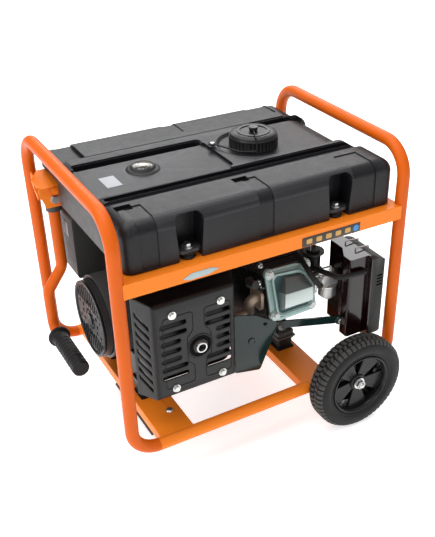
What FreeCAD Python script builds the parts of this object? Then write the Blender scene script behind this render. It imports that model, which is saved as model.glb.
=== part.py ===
import FreeCAD, Part
import math
import os

# Open-frame portable generator, in millimetres, +Z up.
# X runs along the frame, alternator end at -X, recoil starter end at +X.
# -Y is the muffler side, +Y is the control panel side.
# The shapes are laid out with z = 0 at the centre of the bottom tubes and
# moved once, by ORIGIN_SHIFT, when they are written out.

V = FreeCAD.Vector
os.makedirs("parts", exist_ok=True)

# ---------------------------------------------------------------- dimensions
HALF_LEN = 330.0            # post centres from the middle, along X
HALF_WID = 245.4            # post centres from the middle, along Y
TOP_Z = 539.0               # centre of the top cross tubes
TUBE_R = 14.0
TUBE_WALL = 1.8
BEND_LOW = 58.0             # centre-line bend radii of the frame tube
BEND_TOP = 66.0
GROUND = 107.0              # bottom tube centre above the floor

RAIL_TOP = 414.0            # tank rails
RAIL_H = 32.0
RAIL_FRONT = 258.0

CROSS_TOP = 14.0            # two pressed cross members
CROSS_L = (-266.0, -188.0)
CROSS_R = (92.0, 163.0)
SHEET = 2.5

WHEEL_X = 206.0             # wheel axle line
WHEEL_Z = 9.5
WHEEL_R = 116.5
WHEEL_IN = 262.0            # inner and outer faces of the tyre
WHEEL_OUT = 316.0
RIM_R = 76.0
AXLE_R = 7.0
FIT = 0.08                  # running clearance on radius

TANK_X = (-308.0, 312.0)
TANK_Y = 237.0
TANK_Z = (414.0, 516.0)
REAR_TOP = 506.0            # top of the block behind the filler
TANK_ROUND = 27.0
BOLT_X = (-172.0, 172.0)    # tank fixings along X
BOLT_Y = 220.0
CAP = (104.0, 0.0)          # filler axis
CAP_R = 54.0
GAUGE = (-160.0, 0.0)

CRANK_Y = 15.0              # crankshaft line
CRANK_Z = 180.0
SHAFT_R = 17.5
CYL_X = 86.0                # cylinder line, leaning up towards -Y
CYL_TILT = 16.5
BASE_Z = 50.0               # underside of engine and alternator feet
FOOT_X = (-230.0, 130.0)
FOOT_Y = 88.0

SHIELD_Y = -228.0           # front face of the muffler shield
SHIELD_X = (-257.0, -77.0)
SHIELD_Z = (97.0, 327.0)
OUTLET = (-158.0, 203.0)

PIVOT = (-310.0, 170.0, 418.0)   # folding handle pivot, along Y
HANDLE_R = 13.0

ORIGIN_SHIFT = V(16.0, 0, GROUND)


# ------------------------------------------------------------------- helpers
def box(x0, x1, y0, y1, z0, z1):
    return Part.makeBox(x1 - x0, y1 - y0, z1 - z0, V(x0, y0, z0))


def cyl(x, y, z, r, h, axis="z"):
    d = {"x": V(1, 0, 0), "y": V(0, 1, 0), "z": V(0, 0, 1)}[axis]
    return Part.makeCylinder(r, h, V(x, y, z), d)


def ring(x, y, z, ro, ri, h, axis="z"):
    return cyl(x, y, z, ro, h, axis).cut(cyl(x, y, z, ri, h, axis))


def fuse(*shapes):
    out = shapes[0]
    if len(shapes) > 1:
        out = out.multiFuse(list(shapes[1:]))
        out = out.removeSplitter()
    return out


def rounded(shape, r, pick):
    """Fillet the straight edges that pick(midpoint, direction) accepts."""
    edges = []
    for e in shape.Edges:
        if len(e.Vertexes) != 2:
            continue
        a, b = e.Vertexes[0].Point, e.Vertexes[1].Point
        d = b.sub(a)
        if d.Length > 1e-6 and pick(e.CenterOfMass, d.normalize()):
            edges.append(e)
    return shape.makeFillet(r, edges) if edges else shape


def along(axis):
    k = "xyz".index(axis)
    return lambda c, d: abs((d.x, d.y, d.z)[k]) > 0.99


def rbox(x0, x1, y0, y1, z0, z1, r, axis=None):
    b = box(x0, x1, y0, y1, z0, z1)
    if axis is None:
        return b.makeFillet(r, b.Edges)
    return rounded(b, r, along(axis))


def plate_y(points, y0, y1):
    """Outline given as (x, z), extruded from y0 to y1."""
    w = Part.makePolygon([V(x, y0, z) for x, z in points] + [V(points[0][0], y0, points[0][1])])
    return Part.Face(w).extrude(V(0, y1 - y0, 0))


def plate_z(points, z0, z1):
    """Flat shape drawn in (x, y), given thickness along Z."""
    pts = [V(a, b, z0) for a, b in points]
    return Part.Face(Part.makePolygon(pts + [pts[0]])).extrude(V(0, 0, z1 - z0))


def plate_x(points, x0, x1):
    """Outline given as (y, z), extruded from x0 to x1."""
    w = Part.makePolygon([V(x0, y, z) for y, z in points] + [V(x0, points[0][0], points[0][1])])
    return Part.Face(w).extrude(V(x1 - x0, 0, 0))


def lathe(points, centre, axis):
    """Turn an outline of (radius, along) pairs about a line along Y, X or Z."""
    if axis == "y":
        pts = [V(centre[0] + r, a, centre[2]) for r, a in points]
        d = V(0, 1, 0)
    elif axis == "x":
        pts = [V(a, centre[1] + r, centre[2]) for r, a in points]
        d = V(1, 0, 0)
    else:
        pts = [V(centre[0] + r, centre[1], a) for r, a in points]
        d = V(0, 0, 1)
    face = Part.Face(Part.makePolygon(pts + [pts[0]]))
    return face.revolve(V(*centre), d, 360)


def path(points, bends):
    """Centre line through the points, with an arc of the given radius at each corner."""
    edges = []
    start = V(*points[0])
    for i in range(1, len(points) - 1):
        p, c, n = V(*points[i - 1]), V(*points[i]), V(*points[i + 1])
        r = bends[i - 1] if isinstance(bends, (list, tuple)) else bends
        u = p.sub(c).normalize()
        w = n.sub(c).normalize()
        half = math.acos(max(-1, min(1, u.dot(w)))) / 2
        t = r / math.tan(half)
        a, b = c + u * t, c + w * t
        bis = (u + w).normalize()
        centre = c + bis * (r / math.sin(half))
        mid = centre - bis * r
        if a.sub(start).Length > 1e-4:
            edges.append(Part.makeLine(start, a))
        edges.append(Part.Arc(a, mid, b).toShape())
        start = b
    edges.append(Part.makeLine(start, V(*points[-1])))
    return Part.Wire(edges), V(*points[1]).sub(V(*points[0]))


def bar(points, bends, r):
    wire, d = path(points, bends)
    circle = Part.Wire([Part.makeCircle(r, V(*points[0]), d)])
    return wire.makePipeShell([circle], True, False)


def pipe(points, bends, ro, ri):
    return bar(points, bends, ro).cut(bar(points, bends, ri))


def mirror_y(shape):
    return shape.mirror(V(0, 0, 0), V(0, 1, 0))


def on_cylinder(shape):
    """Place a shape drawn about the cylinder line: local z runs out from the crankshaft."""
    out = shape.copy()
    out.rotate(V(0, 0, 0), V(1, 0, 0), 90 - CYL_TILT)
    out.translate(V(CYL_X, CRANK_Y, CRANK_Z))
    return out


def hexagon(x, y, z, flat, h, axis="z"):
    """Hexagonal bolt head, flat = distance across flats."""
    r = flat / math.sqrt(3)
    pts = []
    for i in range(7):
        a, b = r * math.cos(math.radians(60 * i)), r * math.sin(math.radians(60 * i))
        pts.append({"x": V(x, y + a, z + b), "y": V(x + a, y, z + b), "z": V(x + a, y + b, z)}[axis])
    d = {"x": V(h, 0, 0), "y": V(0, h, 0), "z": V(0, 0, h)}[axis]
    return Part.Face(Part.makePolygon(pts)).extrude(d)


def compound(shapes):
    return Part.makeCompound(shapes)


def save(name, shape):
    out = shape.copy()
    out.translate(ORIGIN_SHIFT)
    solids = out.Solids
    out = solids[0] if len(solids) == 1 else Part.makeCompound(solids)
    out.exportStep("parts/%s.step" % name)


# --------------------------------------------------------------- tube frame
def end_hoop(side):
    x, xi = side * HALF_LEN, side * (HALF_LEN - BEND_LOW)
    pts = [(xi, -HALF_WID, 0), (x, -HALF_WID, 0), (x, -HALF_WID, TOP_Z),
           (x, HALF_WID, TOP_Z), (x, HALF_WID, 0), (xi, HALF_WID, 0)]
    return pipe(pts, [BEND_LOW - 0.01, BEND_TOP, BEND_TOP, BEND_LOW - 0.01],
                TUBE_R, TUBE_R - TUBE_WALL)


SILL_HALF = HALF_LEN - BEND_LOW
save("left_end_hoop", end_hoop(-1))
save("right_end_hoop", end_hoop(1))
front_sill = ring(-SILL_HALF, -HALF_WID, 0, TUBE_R, TUBE_R - TUBE_WALL, 2 * SILL_HALF, "x")
save("front_sill_tube", front_sill)
save("rear_sill_tube", mirror_y(front_sill))

posts = [cyl(s * HALF_LEN, t * HALF_WID, 300, TUBE_R + 0.02, 200) for s in (-1, 1) for t in (-1, 1)]


def tank_rail():
    """Steel angle: deep top flange under the tank, front web and a short lip."""
    y0, z0, z1, t = -RAIL_FRONT, RAIL_TOP - RAIL_H, RAIL_TOP, SHEET
    pts = [(y0, z0), (y0 + 12, z0), (y0 + 12, z0 + t), (y0 + t, z0 + t), (y0 + t, z1 - t),
           (-192, z1 - t), (-192, z1), (y0, z1)]
    rail = plate_x(pts, -HALF_LEN + 7, HALF_LEN - 7)
    for p in posts:
        rail = rail.cut(p)
    for bx in BOLT_X:
        rail = rail.cut(cyl(bx, -BOLT_Y, z1 - 10, 4.2, 20))
    return max(rail.Solids, key=lambda s: s.Volume)


front_rail = tank_rail()
save("front_tank_rail", front_rail)
rear_rail = mirror_y(front_rail).cut(box(-330, -278, 185, 214, 405, 420))
save("rear_tank_rail", rear_rail)


def cross_member(x0, x1, holes):
    """Folded channel, open underneath, butted between the two sill tubes."""
    top, h, t = CROSS_TOP, 24.0, SHEET
    y1 = HALF_WID
    web = box(x0, x1, -y1, y1, top - t, top)
    s0 = box(x0, x0 + t, -y1, y1, top - h, top - t)
    s1 = box(x1 - t, x1, -y1, y1, top - h, top - t)
    out = fuse(web, s0, s1)
    out = rounded(out, 2.0, lambda c, d: abs(d.y) > 0.99 and abs(c.z - top) < 0.1)
    for s in (-1, 1):
        out = out.cut(cyl(x0 - 5, s * HALF_WID, 0, TUBE_R + 0.01, x1 - x0 + 10, "x"))
        # the web laps over the tube as far as its crown
        out = out.cut(box(x0 - 5, x1 + 5, min(s * y1, s * (y1 + 40)), max(s * y1, s * (y1 + 40)), -50, 50))
    for hx, hy, hr in holes:
        out = out.cut(cyl(hx, hy, -30, hr, 60))
    return max(out.Solids, key=lambda s: s.Volume)


LEG_X = -213.0
LEG_Y = 172.0
left_holes = [(FOOT_X[0], s * FOOT_Y, 5.2) for s in (-1, 1)] + [(LEG_X, s * LEG_Y, 4.2) for s in (-1, 1)]
right_holes = [(FOOT_X[1], s * FOOT_Y, 5.2) for s in (-1, 1)]
save("left_cross_member", cross_member(CROSS_L[0], CROSS_L[1], left_holes))
save("right_cross_member", cross_member(CROSS_R[0], CROSS_R[1], right_holes))


# ----------------------------------------------------- support leg and feet
LEG_FOOT_Y = 90.0
LEG_LOW = -95.0


def support_leg():
    """Pressed strap, bolted under the left cross member, dropping to a low bar."""
    w, t, top = 15.0, 4.0, CROSS_TOP - SHEET
    o = [(LEG_Y + 20, top), (LEG_Y + 20, top - t), (LEG_Y - 18, top - t), (112, LEG_LOW), (-112, LEG_LOW),
         (-LEG_Y + 18, top - t), (-LEG_Y - 20, top - t), (-LEG_Y - 20, top), (-LEG_Y + 20, top),
         (-110, LEG_LOW + t), (110, LEG_LOW + t), (LEG_Y - 20, top)]
    strap = plate_x(o, LEG_X - w, LEG_X + w)
    rib = plate_x([(118, LEG_LOW), (-118, LEG_LOW), (-122, LEG_LOW + 16), (122, LEG_LOW + 16)],
                  LEG_X - w, LEG_X - w + 3)
    out = fuse(strap, rib)
    for s in (-1, 1):
        out = out.cut(cyl(LEG_X, s * LEG_Y, -20, 4.2, 60))
        out = out.cut(cyl(LEG_X, s * LEG_FOOT_Y, -120, 4.2, 60))
    return out


save("support_leg", support_leg())


def leg_foot(s):
    y = s * LEG_FOOT_Y
    foot = lathe([(0, -GROUND), (14, -GROUND), (18, -GROUND + 3), (16, LEG_LOW), (0, LEG_LOW)],
                 (LEG_X, y, 0), "z")
    stem = cyl(LEG_X, y, LEG_LOW, 4.0, 4.5)
    head = lathe([(0, LEG_LOW + 4), (7, LEG_LOW + 4), (5, LEG_LOW + 8), (0, LEG_LOW + 8)],
                 (LEG_X, y, 0), "z")
    return fuse(foot, stem, head)


save("leg_feet", compound([leg_foot(-1), leg_foot(1)]))


# ------------------------------------------------------------ axles, wheels
def stub_axle():
    """Saddle welded round the sill tube, stub axle, washer and domed nut (front side)."""
    y = -HALF_WID
    saddle = rbox(WHEEL_X - 27, WHEEL_X + 27, y - 18.6, y, -26, 32, 5, "y")
    saddle = saddle.cut(cyl(WHEEL_X - 40, y, 0, TUBE_R + 0.01, 80, "x"))
    saddle = saddle.cut(box(WHEEL_X - 40, WHEEL_X + 40, y - 6, y + 1, -40, 40))
    boss = cyl(WHEEL_X, y - 21.6, WHEEL_Z, 14, 3, "y")
    pin = cyl(WHEEL_X, -313, WHEEL_Z, AXLE_R, 313 + y - 21, "y")
    washer = cyl(WHEEL_X, -306, WHEEL_Z, 14, 3, "y")
    nut = hexagon(WHEEL_X, -314, WHEEL_Z, 19, 8, "y")
    dome = Part.makeSphere(8.2, V(WHEEL_X, -312.5, WHEEL_Z))
    dome = dome.common(box(WHEEL_X - 9, WHEEL_X + 9, -330, -313, WHEEL_Z - 9, WHEEL_Z + 9))
    return fuse(saddle, boss, pin, washer, nut, dome)


front_axle = stub_axle()
save("front_axle", front_axle)
save("rear_axle", mirror_y(front_axle))


def tyre():
    ri, ro, a, b = RIM_R, WHEEL_R, -WHEEL_OUT, -WHEEL_IN
    pts = [(ri, a + 6), (ri + 3, a + 3), (ri + 12, a), (ro - 10, a + 0.5), (ro - 2.5, a + 4), (ro, a + 9),
           (ro, a + 24.5), (ro - 3, a + 25), (ro - 3, a + 29), (ro, a + 29.5),
           (ro, b - 9), (ro - 2.5, b - 4), (ro - 10, b - 0.5), (ri + 12, b), (ri + 3, b - 3), (ri, b - 6)]
    return lathe(pts, (WHEEL_X, 0, WHEEL_Z), "y")


def rim():
    a, b, r = -WHEEL_OUT, -WHEEL_IN, RIM_R
    barrel = lathe([(r, a + 4), (r, b - 4), (r - 4, b - 4), (r - 5, a + 22), (r - 9, a + 8), (r - 8, a + 4)],
                   (WHEEL_X, 0, WHEEL_Z), "y")
    hub = ring(WHEEL_X, -302, WHEEL_Z, 19, AXLE_R + FIT, 34, "y")
    web = ring(WHEEL_X, a + 19, WHEEL_Z, r - 4.5, 18, 5, "y")
    windows = []
    for i in range(5):
        s = plate_y([(24, -4.5), (r - 13, -16), (r - 13, 16), (24, 4.5)], a + 10, a + 30)
        s = rounded(s, 3.0, along("y"))
        s.rotate(V(0, 0, 0), V(0, 1, 0), 72 * i + 52)
        s.translate(V(WHEEL_X, 0, WHEEL_Z))
        windows.append(s)
    for wdw in windows:
        web = web.cut(wdw)
    ribs = []
    for i in range(5):
        s = box(18, r - 6, -2, 2, a + 24, a + 34)
        s = Part.makeBox(r - 24, 10, 4, V(18, a + 24, -2))
        s.rotate(V(0, 0, 0), V(0, 1, 0), 72 * i + 16)
        s.translate(V(WHEEL_X, 0, WHEEL_Z))
        ribs.append(s)
    return fuse(barrel, hub, web, *ribs)


front_tyre, front_rim = tyre(), rim()
save("front_tyre", front_tyre)
save("front_rim", front_rim)
save("rear_tyre", mirror_y(front_tyre))
save("rear_rim", mirror_y(front_rim))


# ------------------------------------------------------------ folding handle
def handle_bracket():
    """Pressed hood on the rear left post: sloping top, front and inner cheeks, open to the left."""
    x0, x1, y0, y1 = -345.0, -288.0, 124.0, 222.0
    zf, zb, t = 441.0, 460.0, 3.0
    plan = plate_z([(x0, 190), (x0 + 3, 158), (-319, 147), (-317, y0), (x1, y0), (x1, 204), (-304, y1), (-322, y1)],
                   400, 480)
    top = plate_x([(y0, zf), (y0, zf - t), (y1, zb - t), (y1, zb)], x0 - 5, x1 + 5).common(plan)
    front = plate_y([(-300, 430), (-300, zf), (x1, zf), (x1, 404), (x1 - 6, 404)], y0, y0 + t)
    cheek = plate_y([(x0 + 3, 434), (x0 + 3, 447), (-319, 447), (-290, 447), (-290, 399), (-330, 399)], 148, 148 + t)
    inner = plate_x([(y0, 400), (y0, zf), (204, 456), (204, 430), (188, 404), (188, 400)], x1 - t, x1)
    back = plate_y([(x0 + 4, 432), (x0 + 4, 449), (x1, 452), (x1, 404), (x0 + 14, 404)], 188, 191)
    lug = plate_x([(188, 404), (188, 450), (y1, zb - 1), (y1, 430)], -336, -333)
    out = fuse(top, front, cheek, inner, back, lug)
    out = out.cut(cyl(-HALF_LEN, HALF_WID, 300, TUBE_R + 0.02, 200))
    out = out.cut(cyl(PIVOT[0], y0 - 5, PIVOT[2], 5.0 + 0.02, 80, "y"))
    return max(out.Solids, key=lambda s: s.Volume)


save("handle_bracket", handle_bracket())

GRIP_Y = (-14.0, 137.0)
hx, hy, hz = PIVOT


def handle_tube():
    pts = [(hx, hy, hz), (hx, hy, 238), (-350, hy, 182), (-350, hy, 76), (-350, GRIP_Y[0] + 4, 76)]
    tube = pipe(pts, [32, 32, 32], HANDLE_R, HANDLE_R - 2)
    end = cyl(hx, hy - HANDLE_R, hz, HANDLE_R, 2 * HANDLE_R, "y")
    inner = cyl(hx, hy - HANDLE_R - 1, hz, 5.0 + FIT, 2 * HANDLE_R + 2, "y")
    out = fuse(tube, end).cut(inner)
    return max(out.Solids, key=lambda s: s.Volume)


save("handle_tube", handle_tube())


def handle_grip():
    """Moulded grip with a hand guard at its inner end, slipped over the tube."""
    a, b = GRIP_Y
    pts = [(0, a), (17.5, a), (19.5, a + 3), (19.5, a + 20), (18.6, a + 24), (19.4, a + 70), (18.6, b - 12),
           (20, b - 9), (26, b - 6), (26, b - 1.5), (24, b), (HANDLE_R, b), (HANDLE_R, a + 4), (0, a + 4)]
    return lathe(pts, (-350, 0, 76), "y")


save("handle_grip", handle_grip())
save("handle_collar", ring(hx, hy, 384, 17.0, HANDLE_R, 19))


# ------------------------------------------------------------------ fuel tank
PANEL_Z = TANK_Z[1] - 6.0
NECK_R = 46.0


BAND = 2.0


def fall_away(x_end, top, length, drop, ya, yb, x1):
    """Cutter that rounds the top down over a length, as a quarter ellipse ending at x_end."""
    n = 8
    arc = [(x_end - length + length * math.sin(math.radians(90 * i / n)),
            top - drop + drop * math.cos(math.radians(90 * i / n))) for i in range(n + 1)]
    outline = arc + [(x_end, top - drop - 40), (x1 + 6, top - drop - 40), (x1 + 6, top + 12), (x_end - length, top + 12)]
    return plate_y(outline, ya, yb)


def fuel_tank():
    x0, x1 = TANK_X
    z0, z1 = TANK_Z
    def half(outer, inner, top, d=0.0):
        """One side of the moulding, rounded on its outer edges only; d insets its outer faces."""
        outer -= d if outer > 0 else -d
        top -= d
        b = box(x0, x1, min(outer, inner), max(outer, inner), z0, top)
        b = rounded(b, 22.0, lambda c, q: abs(q.z) > 0.99 and abs(c.y - outer) < 1)
        up = [e for e in b.Edges if abs(e.CenterOfMass.z - top) < 0.1 and abs(e.CenterOfMass.y - inner) > 1]
        b = b.makeFillet(TANK_ROUND - d, up)
        low = [e for e in b.Edges if abs(e.CenterOfMass.z - z0) < 0.1 and abs(e.CenterOfMass.y - inner) > 1]
        return b.makeFillet(4.0, low)

    ridge_y = 108.0
    front, rear = half(-TANK_Y, ridge_y, z1), half(TANK_Y, ridge_y, REAR_TOP)
    # shallow bands that run up the front and rear blocks and over their top edges
    skins = (front.cut(half(-TANK_Y, ridge_y, z1, BAND)), rear.cut(half(TANK_Y, ridge_y, REAR_TOP, BAND)))
    for xa, xb in ((-273, -237), (-20, 13), (205, 262)):
        front = front.cut(skins[0].common(box(xa, xb, -TANK_Y - 5, -160, z0 + 6, z1 + 5)))
        rear = rear.cut(skins[1].common(box(xa, xb, 160, TANK_Y + 5, z0 + 6, z1 + 5)))
    body = front.fuse(rear)
    # strip in front of the front trench, and the strip behind the rear ridge
    body = body.cut(box(x0 - 5, x1 + 5, -138, -121, PANEL_Z, z1 + 5))
    body = body.cut(box(x0 - 5, x1 + 5, ridge_y, 131, REAR_TOP - 4, z1 + 5))
    body = body.cut(box(x0 - 5, x1 + 5, ridge_y - 3, ridge_y, REAR_TOP - 8, z1 + 5))
    # sunk panel left of the filler, its front edge sloping up to the crest
    panel = box(x0 - 5, 8, -90, 60, PANEL_Z, z1 + 5)
    panel = rounded(panel, 14.0, lambda c, q: abs(q.z) > 0.99 and c.x > 0)
    slope = plate_x([(-98, z1 - 1.5), (-88, PANEL_Z), (-60, PANEL_Z), (-60, z1 + 5), (-98, z1 + 5)], x0 - 5, -4)
    body = body.cut(panel).cut(slope)
    # sunk panel right of the filler, with the dish round the cap opening into it
    right = box(CAP[0], x1 + 5, -84, 90, PANEL_Z, z1 + 5)
    dish = lathe([(0, PANEL_Z), (74, PANEL_Z), (82, z1 + 1), (0, z1 + 1)], (CAP[0] - 2, CAP[1], 0), "z")
    body = body.cut(right).cut(dish)
    # long trenches, each stepped at its rim
    for xa, xb, ya, yb in ((x0 + 20, x1 - 22, -118, -98), (x0 + 20, 4, 55, 75), (150, x1 - 22, 86, 104)):
        for grow, floor in ((0, PANEL_Z - 12), (2.5, z1 - 3)):
            t = box(xa - grow, xb + grow, ya - grow, yb + grow, floor, z1 + 5)
            body = body.cut(rounded(t, 8.4 + grow, along("z")))
    # the top falls away at its right end, more so between the two rims
    body = body.cut(fall_away(x1 - 9, z1, 38, 34, -138, 108, x1))
    body = body.cut(fall_away(x1 - 7, PANEL_Z, 66, 42, -84, 90, x1))
    body = body.cut(fall_away(x1 - 1, REAR_TOP - 9, 32, 22, ridge_y, TANK_Y + 5, x1))
    body = body.cut(box(264, x1 + 5, 131, TANK_Y + 5, REAR_TOP - 9, z1 + 5))
    # rear left corner: lower top, and a notch that clears the folding handle's bracket
    body = body.cut(box(x0 - 5, -281, 117, TANK_Y + 5, z0 - 5, 468))
    body = body.cut(box(x0 - 5, -237, ridge_y - 3, TANK_Y + 5, REAR_TOP - 9, z1 + 5))
    # strap slots in the front block
    for xa in (-287, -36):
        body = body.cut(box(xa, xa + 33, -168, -149, z1 - 8, z1 + 5))
    neck = ring(CAP[0], CAP[1], PANEL_Z - 1, NECK_R, NECK_R - 4, 17)
    body = body.fuse(neck).removeSplitter()
    # fuel space
    wall = 4.0
    space = [rbox(x0 + 8, 234, -180, 110, z0 + wall, PANEL_Z - 20, 16, "z"),
             rbox(-274, 234, 70, 180, z0 + wall, PANEL_Z - 20, 16, "z"),
             rbox(100, x1 - 10, -180, 180, z0 + wall, PANEL_Z - 50, 16, "z")]
    bays = [(x0 + 8, BOLT_X[0] - 37), (BOLT_X[0] + 37, BOLT_X[1] - 37), (BOLT_X[1] + 37, x1 - 8)]
    for i, (xa, xb) in enumerate(bays):
        for s in (-1, 1):
            if s > 0 and i == 0:
                continue
            ya, yb = sorted((s * 143, s * (TANK_Y - 9)))
            space.append(rbox(xa, xb, ya, yb, z0 + wall, z1 - 19 if s < 0 else REAR_TOP - 21, 14, "z"))
    body = body.cut(space[0].multiFuse(space[1:]))
    body = body.cut(cyl(CAP[0], CAP[1], PANEL_Z - 30, NECK_R - 4, 60))
    # fixing pockets, each with a lug for its bolt
    for bx in BOLT_X:
        for sy in (-1, 1):
            w = 25.0
            pz = z1 - 6 if sy < 0 else REAR_TOP - 5
            pocket = plate_y([(bx - w, z0 - 5), (bx + w, z0 - 5), (bx + w, z0 + 24), (bx + w + 6, pz), (bx - w - 6, pz),
                              (bx - w, z0 + 24)], min(sy * 194, sy * 250), max(sy * 194, sy * 250))
            pocket = rounded(pocket, 14.0, lambda c, d: abs(d.y) > 0.99 and c.z > pz - 15)
            body = body.cut(pocket)
            lug = box(bx - w, bx + w, min(sy * 194, sy * 234), max(sy * 194, sy * 234), 428, 435)
            lug = rounded(lug, 12.0, lambda c, d: abs(d.z) > 0.99 and abs(c.y) > 200)
            body = body.fuse(lug)
            body = body.cut(cyl(bx, sy * BOLT_Y, 400, 4.4, 80))
    # seat for the gauge and hole for the outlet tap
    body = body.cut(cyl(GAUGE[0], GAUGE[1], PANEL_Z - 30, 26, 60))
    body = body.cut(cyl(TAP[0], TAP[1], z0 - 5, 7.0, 20))
    return max(body.removeSplitter().Solids, key=lambda q: q.Volume)


TAP = (175.0, -150.0)
save("fuel_tank", fuel_tank())

bolts, bushes = [], []
for bx in BOLT_X:
    for sy in (-1, 1):
        by = sy * BOLT_Y
        bushes.append(lathe([(4.4, 414), (15, 414), (16, 417), (14, 421), (16, 425), (15, 428), (4.4, 428)],
                            (bx, by, 0), "z"))
        b = fuse(cyl(bx, by, 402, 4.0, 36), cyl(bx, by, 435, 12, 2.2), hexagon(bx, by, 437.2, 13, 6.5),
                 hexagon(bx, by, RAIL_TOP - SHEET - 7, 13, 7))
        bolts.append(b)
SCREW = (14.0, 22.0)
earth = fuse(cyl(SCREW[0], SCREW[1], TANK_Z[1] + 3, 7, 1.6), cyl(SCREW[0], SCREW[1], TANK_Z[1] + 4, 4.6, 5))
save("tank_bushes", compound(bushes))
save("tank_bolts", compound(bolts + [earth]))

gauge = fuse(lathe([(0, PANEL_Z), (36, PANEL_Z), (33, PANEL_Z + 2.5), (24, PANEL_Z + 5), (0, PANEL_Z + 5)],
                   (GAUGE[0], GAUGE[1], 0), "z"),
             cyl(GAUGE[0], GAUGE[1], PANEL_Z - 20, 25.9, 20), cyl(GAUGE[0], GAUGE[1], PANEL_Z + 5, 20, 1.5))
save("fuel_gauge", gauge)


def fuel_cap():
    cx, cy = CAP
    z0, z1 = PANEL_Z + 1.0, PANEL_Z + 32.0
    cup = lathe([(0, z1), (44, z1), (50, z1 - 3), (CAP_R, z1 - 9), (CAP_R, z0), (NECK_R + 1.5, z0),
                 (NECK_R + 1.5, PANEL_Z + 17), (0, PANEL_Z + 17)], (cx, cy, 0), "z")
    for i in range(40):
        g = cyl(CAP_R + 0.6, 0, z0 - 1, 1.9, z1 - z0 - 9)
        g.rotate(V(0, 0, 0), V(0, 0, 1), 9 * i)
        g.translate(V(cx, cy, 0))
        cup = cup.cut(g)
    raised = ring(cx, cy, z1, 36, 30, 1.6)
    post = fuse(cyl(cx, cy, z1, 5.5, 6), cyl(cx, cy, z1 + 6, 10, 3.5))
    return fuse(cup, raised, post)


save("fuel_cap", fuel_cap())


def cap_tether():
    """Flexible strap: eye round the cap's post, over the edge and down to the anchor screw."""
    cx, cy = CAP
    z1 = PANEL_Z + 32.0
    low = TANK_Z[1] + 5.2
    eye = ring(cx, cy, z1 + 2.4, 9.6, 5.8, 2.4)
    run = bar([(cx - 4, cy - 7, z1 + 3.8), (cx - 24, cy - 54, z1 + 4.6), (cx - 28, cy - 64, low),
               (cx - 60, cy - 46, low), (SCREW[0] + 4, SCREW[1] - 8, low + 1)], [6, 6, 10], 1.6)
    foot = ring(SCREW[0], SCREW[1], TANK_Z[1] + 4.7, 9.5, 4.7, 3.0)
    return fuse(eye, run, foot)


save("cap_tether", cap_tether())

# fuel tap under the tank, its lever and the hose to the carburettor
tx, ty = TAP
tap = fuse(cyl(tx, ty, 386, 6.9, 32), cyl(tx, ty, 400, 10, 14), box(tx - 9, tx + 9, ty - 9, ty + 9, 380, 398),
           cyl(tx, ty, 368, 3.5, 14), cyl(tx, ty, 366, 4.4, 3))
tap = tap.cut(cyl(tx, ty - 10, 389, 3.0 + FIT, 12, "y"))
save("fuel_tap", tap)
lever = fuse(cyl(tx, ty - 14, 389, 8, 4.5, "y"), cyl(tx, ty - 9.6, 389, 3.0, 10, "y"),
             rbox(tx - 4, tx + 4, ty - 14, ty - 10, 360, 386, 1.8, "y"))
save("fuel_tap_lever", lever)


# -------------------------------------------------------------------- engine
def crankcase():
    x0, x1 = -5.0, 150.0
    drum = cyl(x0, CRANK_Y, CRANK_Z, 97, x1 - x0, "x")
    drum = drum.cut(box(x0 - 1, x1 + 1, -120, 150, 0, BASE_Z))
    sump = rbox(x0, x1, CRANK_Y - 90, CRANK_Y + 90, BASE_Z + 8, CRANK_Z, 10, "x")
    barrel = on_cylinder(rbox(-58, 62, -60, 60, 20, 100, 8, "z"))
    feet = [rbox(FOOT_X[1] - 22, FOOT_X[1] + 22, s * FOOT_Y - 20, s * FOOT_Y + 20, BASE_Z, BASE_Z + 12, 4, "z")
            for s in (-1, 1)]
    plate = rbox(x0 + 4, x1 + 2, -FOOT_Y + 8, FOOT_Y - 8, BASE_Z, BASE_Z + 14, 6, "z")
    out = fuse(drum, sump, barrel, plate, *feet)
    out = out.cut(cyl(x0 + 12, CRANK_Y, CRANK_Z, 78, x1 - x0 - 24, "x"))
    out = out.cut(cyl(x0 - 1, CRANK_Y, CRANK_Z, SHAFT_R + FIT, 200, "x"))
    for s in (-1, 1):
        out = out.cut(cyl(FOOT_X[1], s * FOOT_Y, 0, 5.2, 100))
        out = out.cut(cyl(FOOT_X[1], s * FOOT_Y, BASE_Z + 12, 14, 26))
    # filler boss for the dipstick, on the panel side
    boss = cyl(40, 100, 112, 15, 16, "y")
    out = fuse(out, boss)
    out = out.cut(cyl(40, 48, 112, 9.1, 90, "y"))
    ribs = [cyl(x, CRANK_Y, CRANK_Z, 99, 4, "x").cut(cyl(x, CRANK_Y, CRANK_Z, 96.5, 4, "x"))
            .cut(box(-20, 170, -200, 200, 0, 150)).cut(box(-20, 170, -200, CRANK_Y - 40, 0, 400))
            for x in (20, 50, 80, 110)]
    out = fuse(out, *ribs)
    return max(out.Solids, key=lambda s: s.Volume)


save("crankcase", crankcase())

dip = fuse(cyl(40, 116.2, 112, 14, 6, "y"), cyl(40, 96, 112, 9.0, 21, "y"),
           rbox(26, 54, 122, 130, 109, 115, 2.5, "y"), cyl(40, 60, 112, 2.5, 37, "y"))
save("oil_dipstick", dip)


def cylinder_block():
    core = rbox(-50, 50, -50, 50, 100, 160, 20, "z")
    fins = [rbox(-60, 60, -60, 60, z, z + 2.6, 12, "z") for z in (106, 114, 122, 130, 138, 146, 154)]
    out = fuse(core, *fins)
    return on_cylinder(out.cut(cyl(0, 0, 90, 34, 90)))


save("cylinder", cylinder_block())


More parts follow.
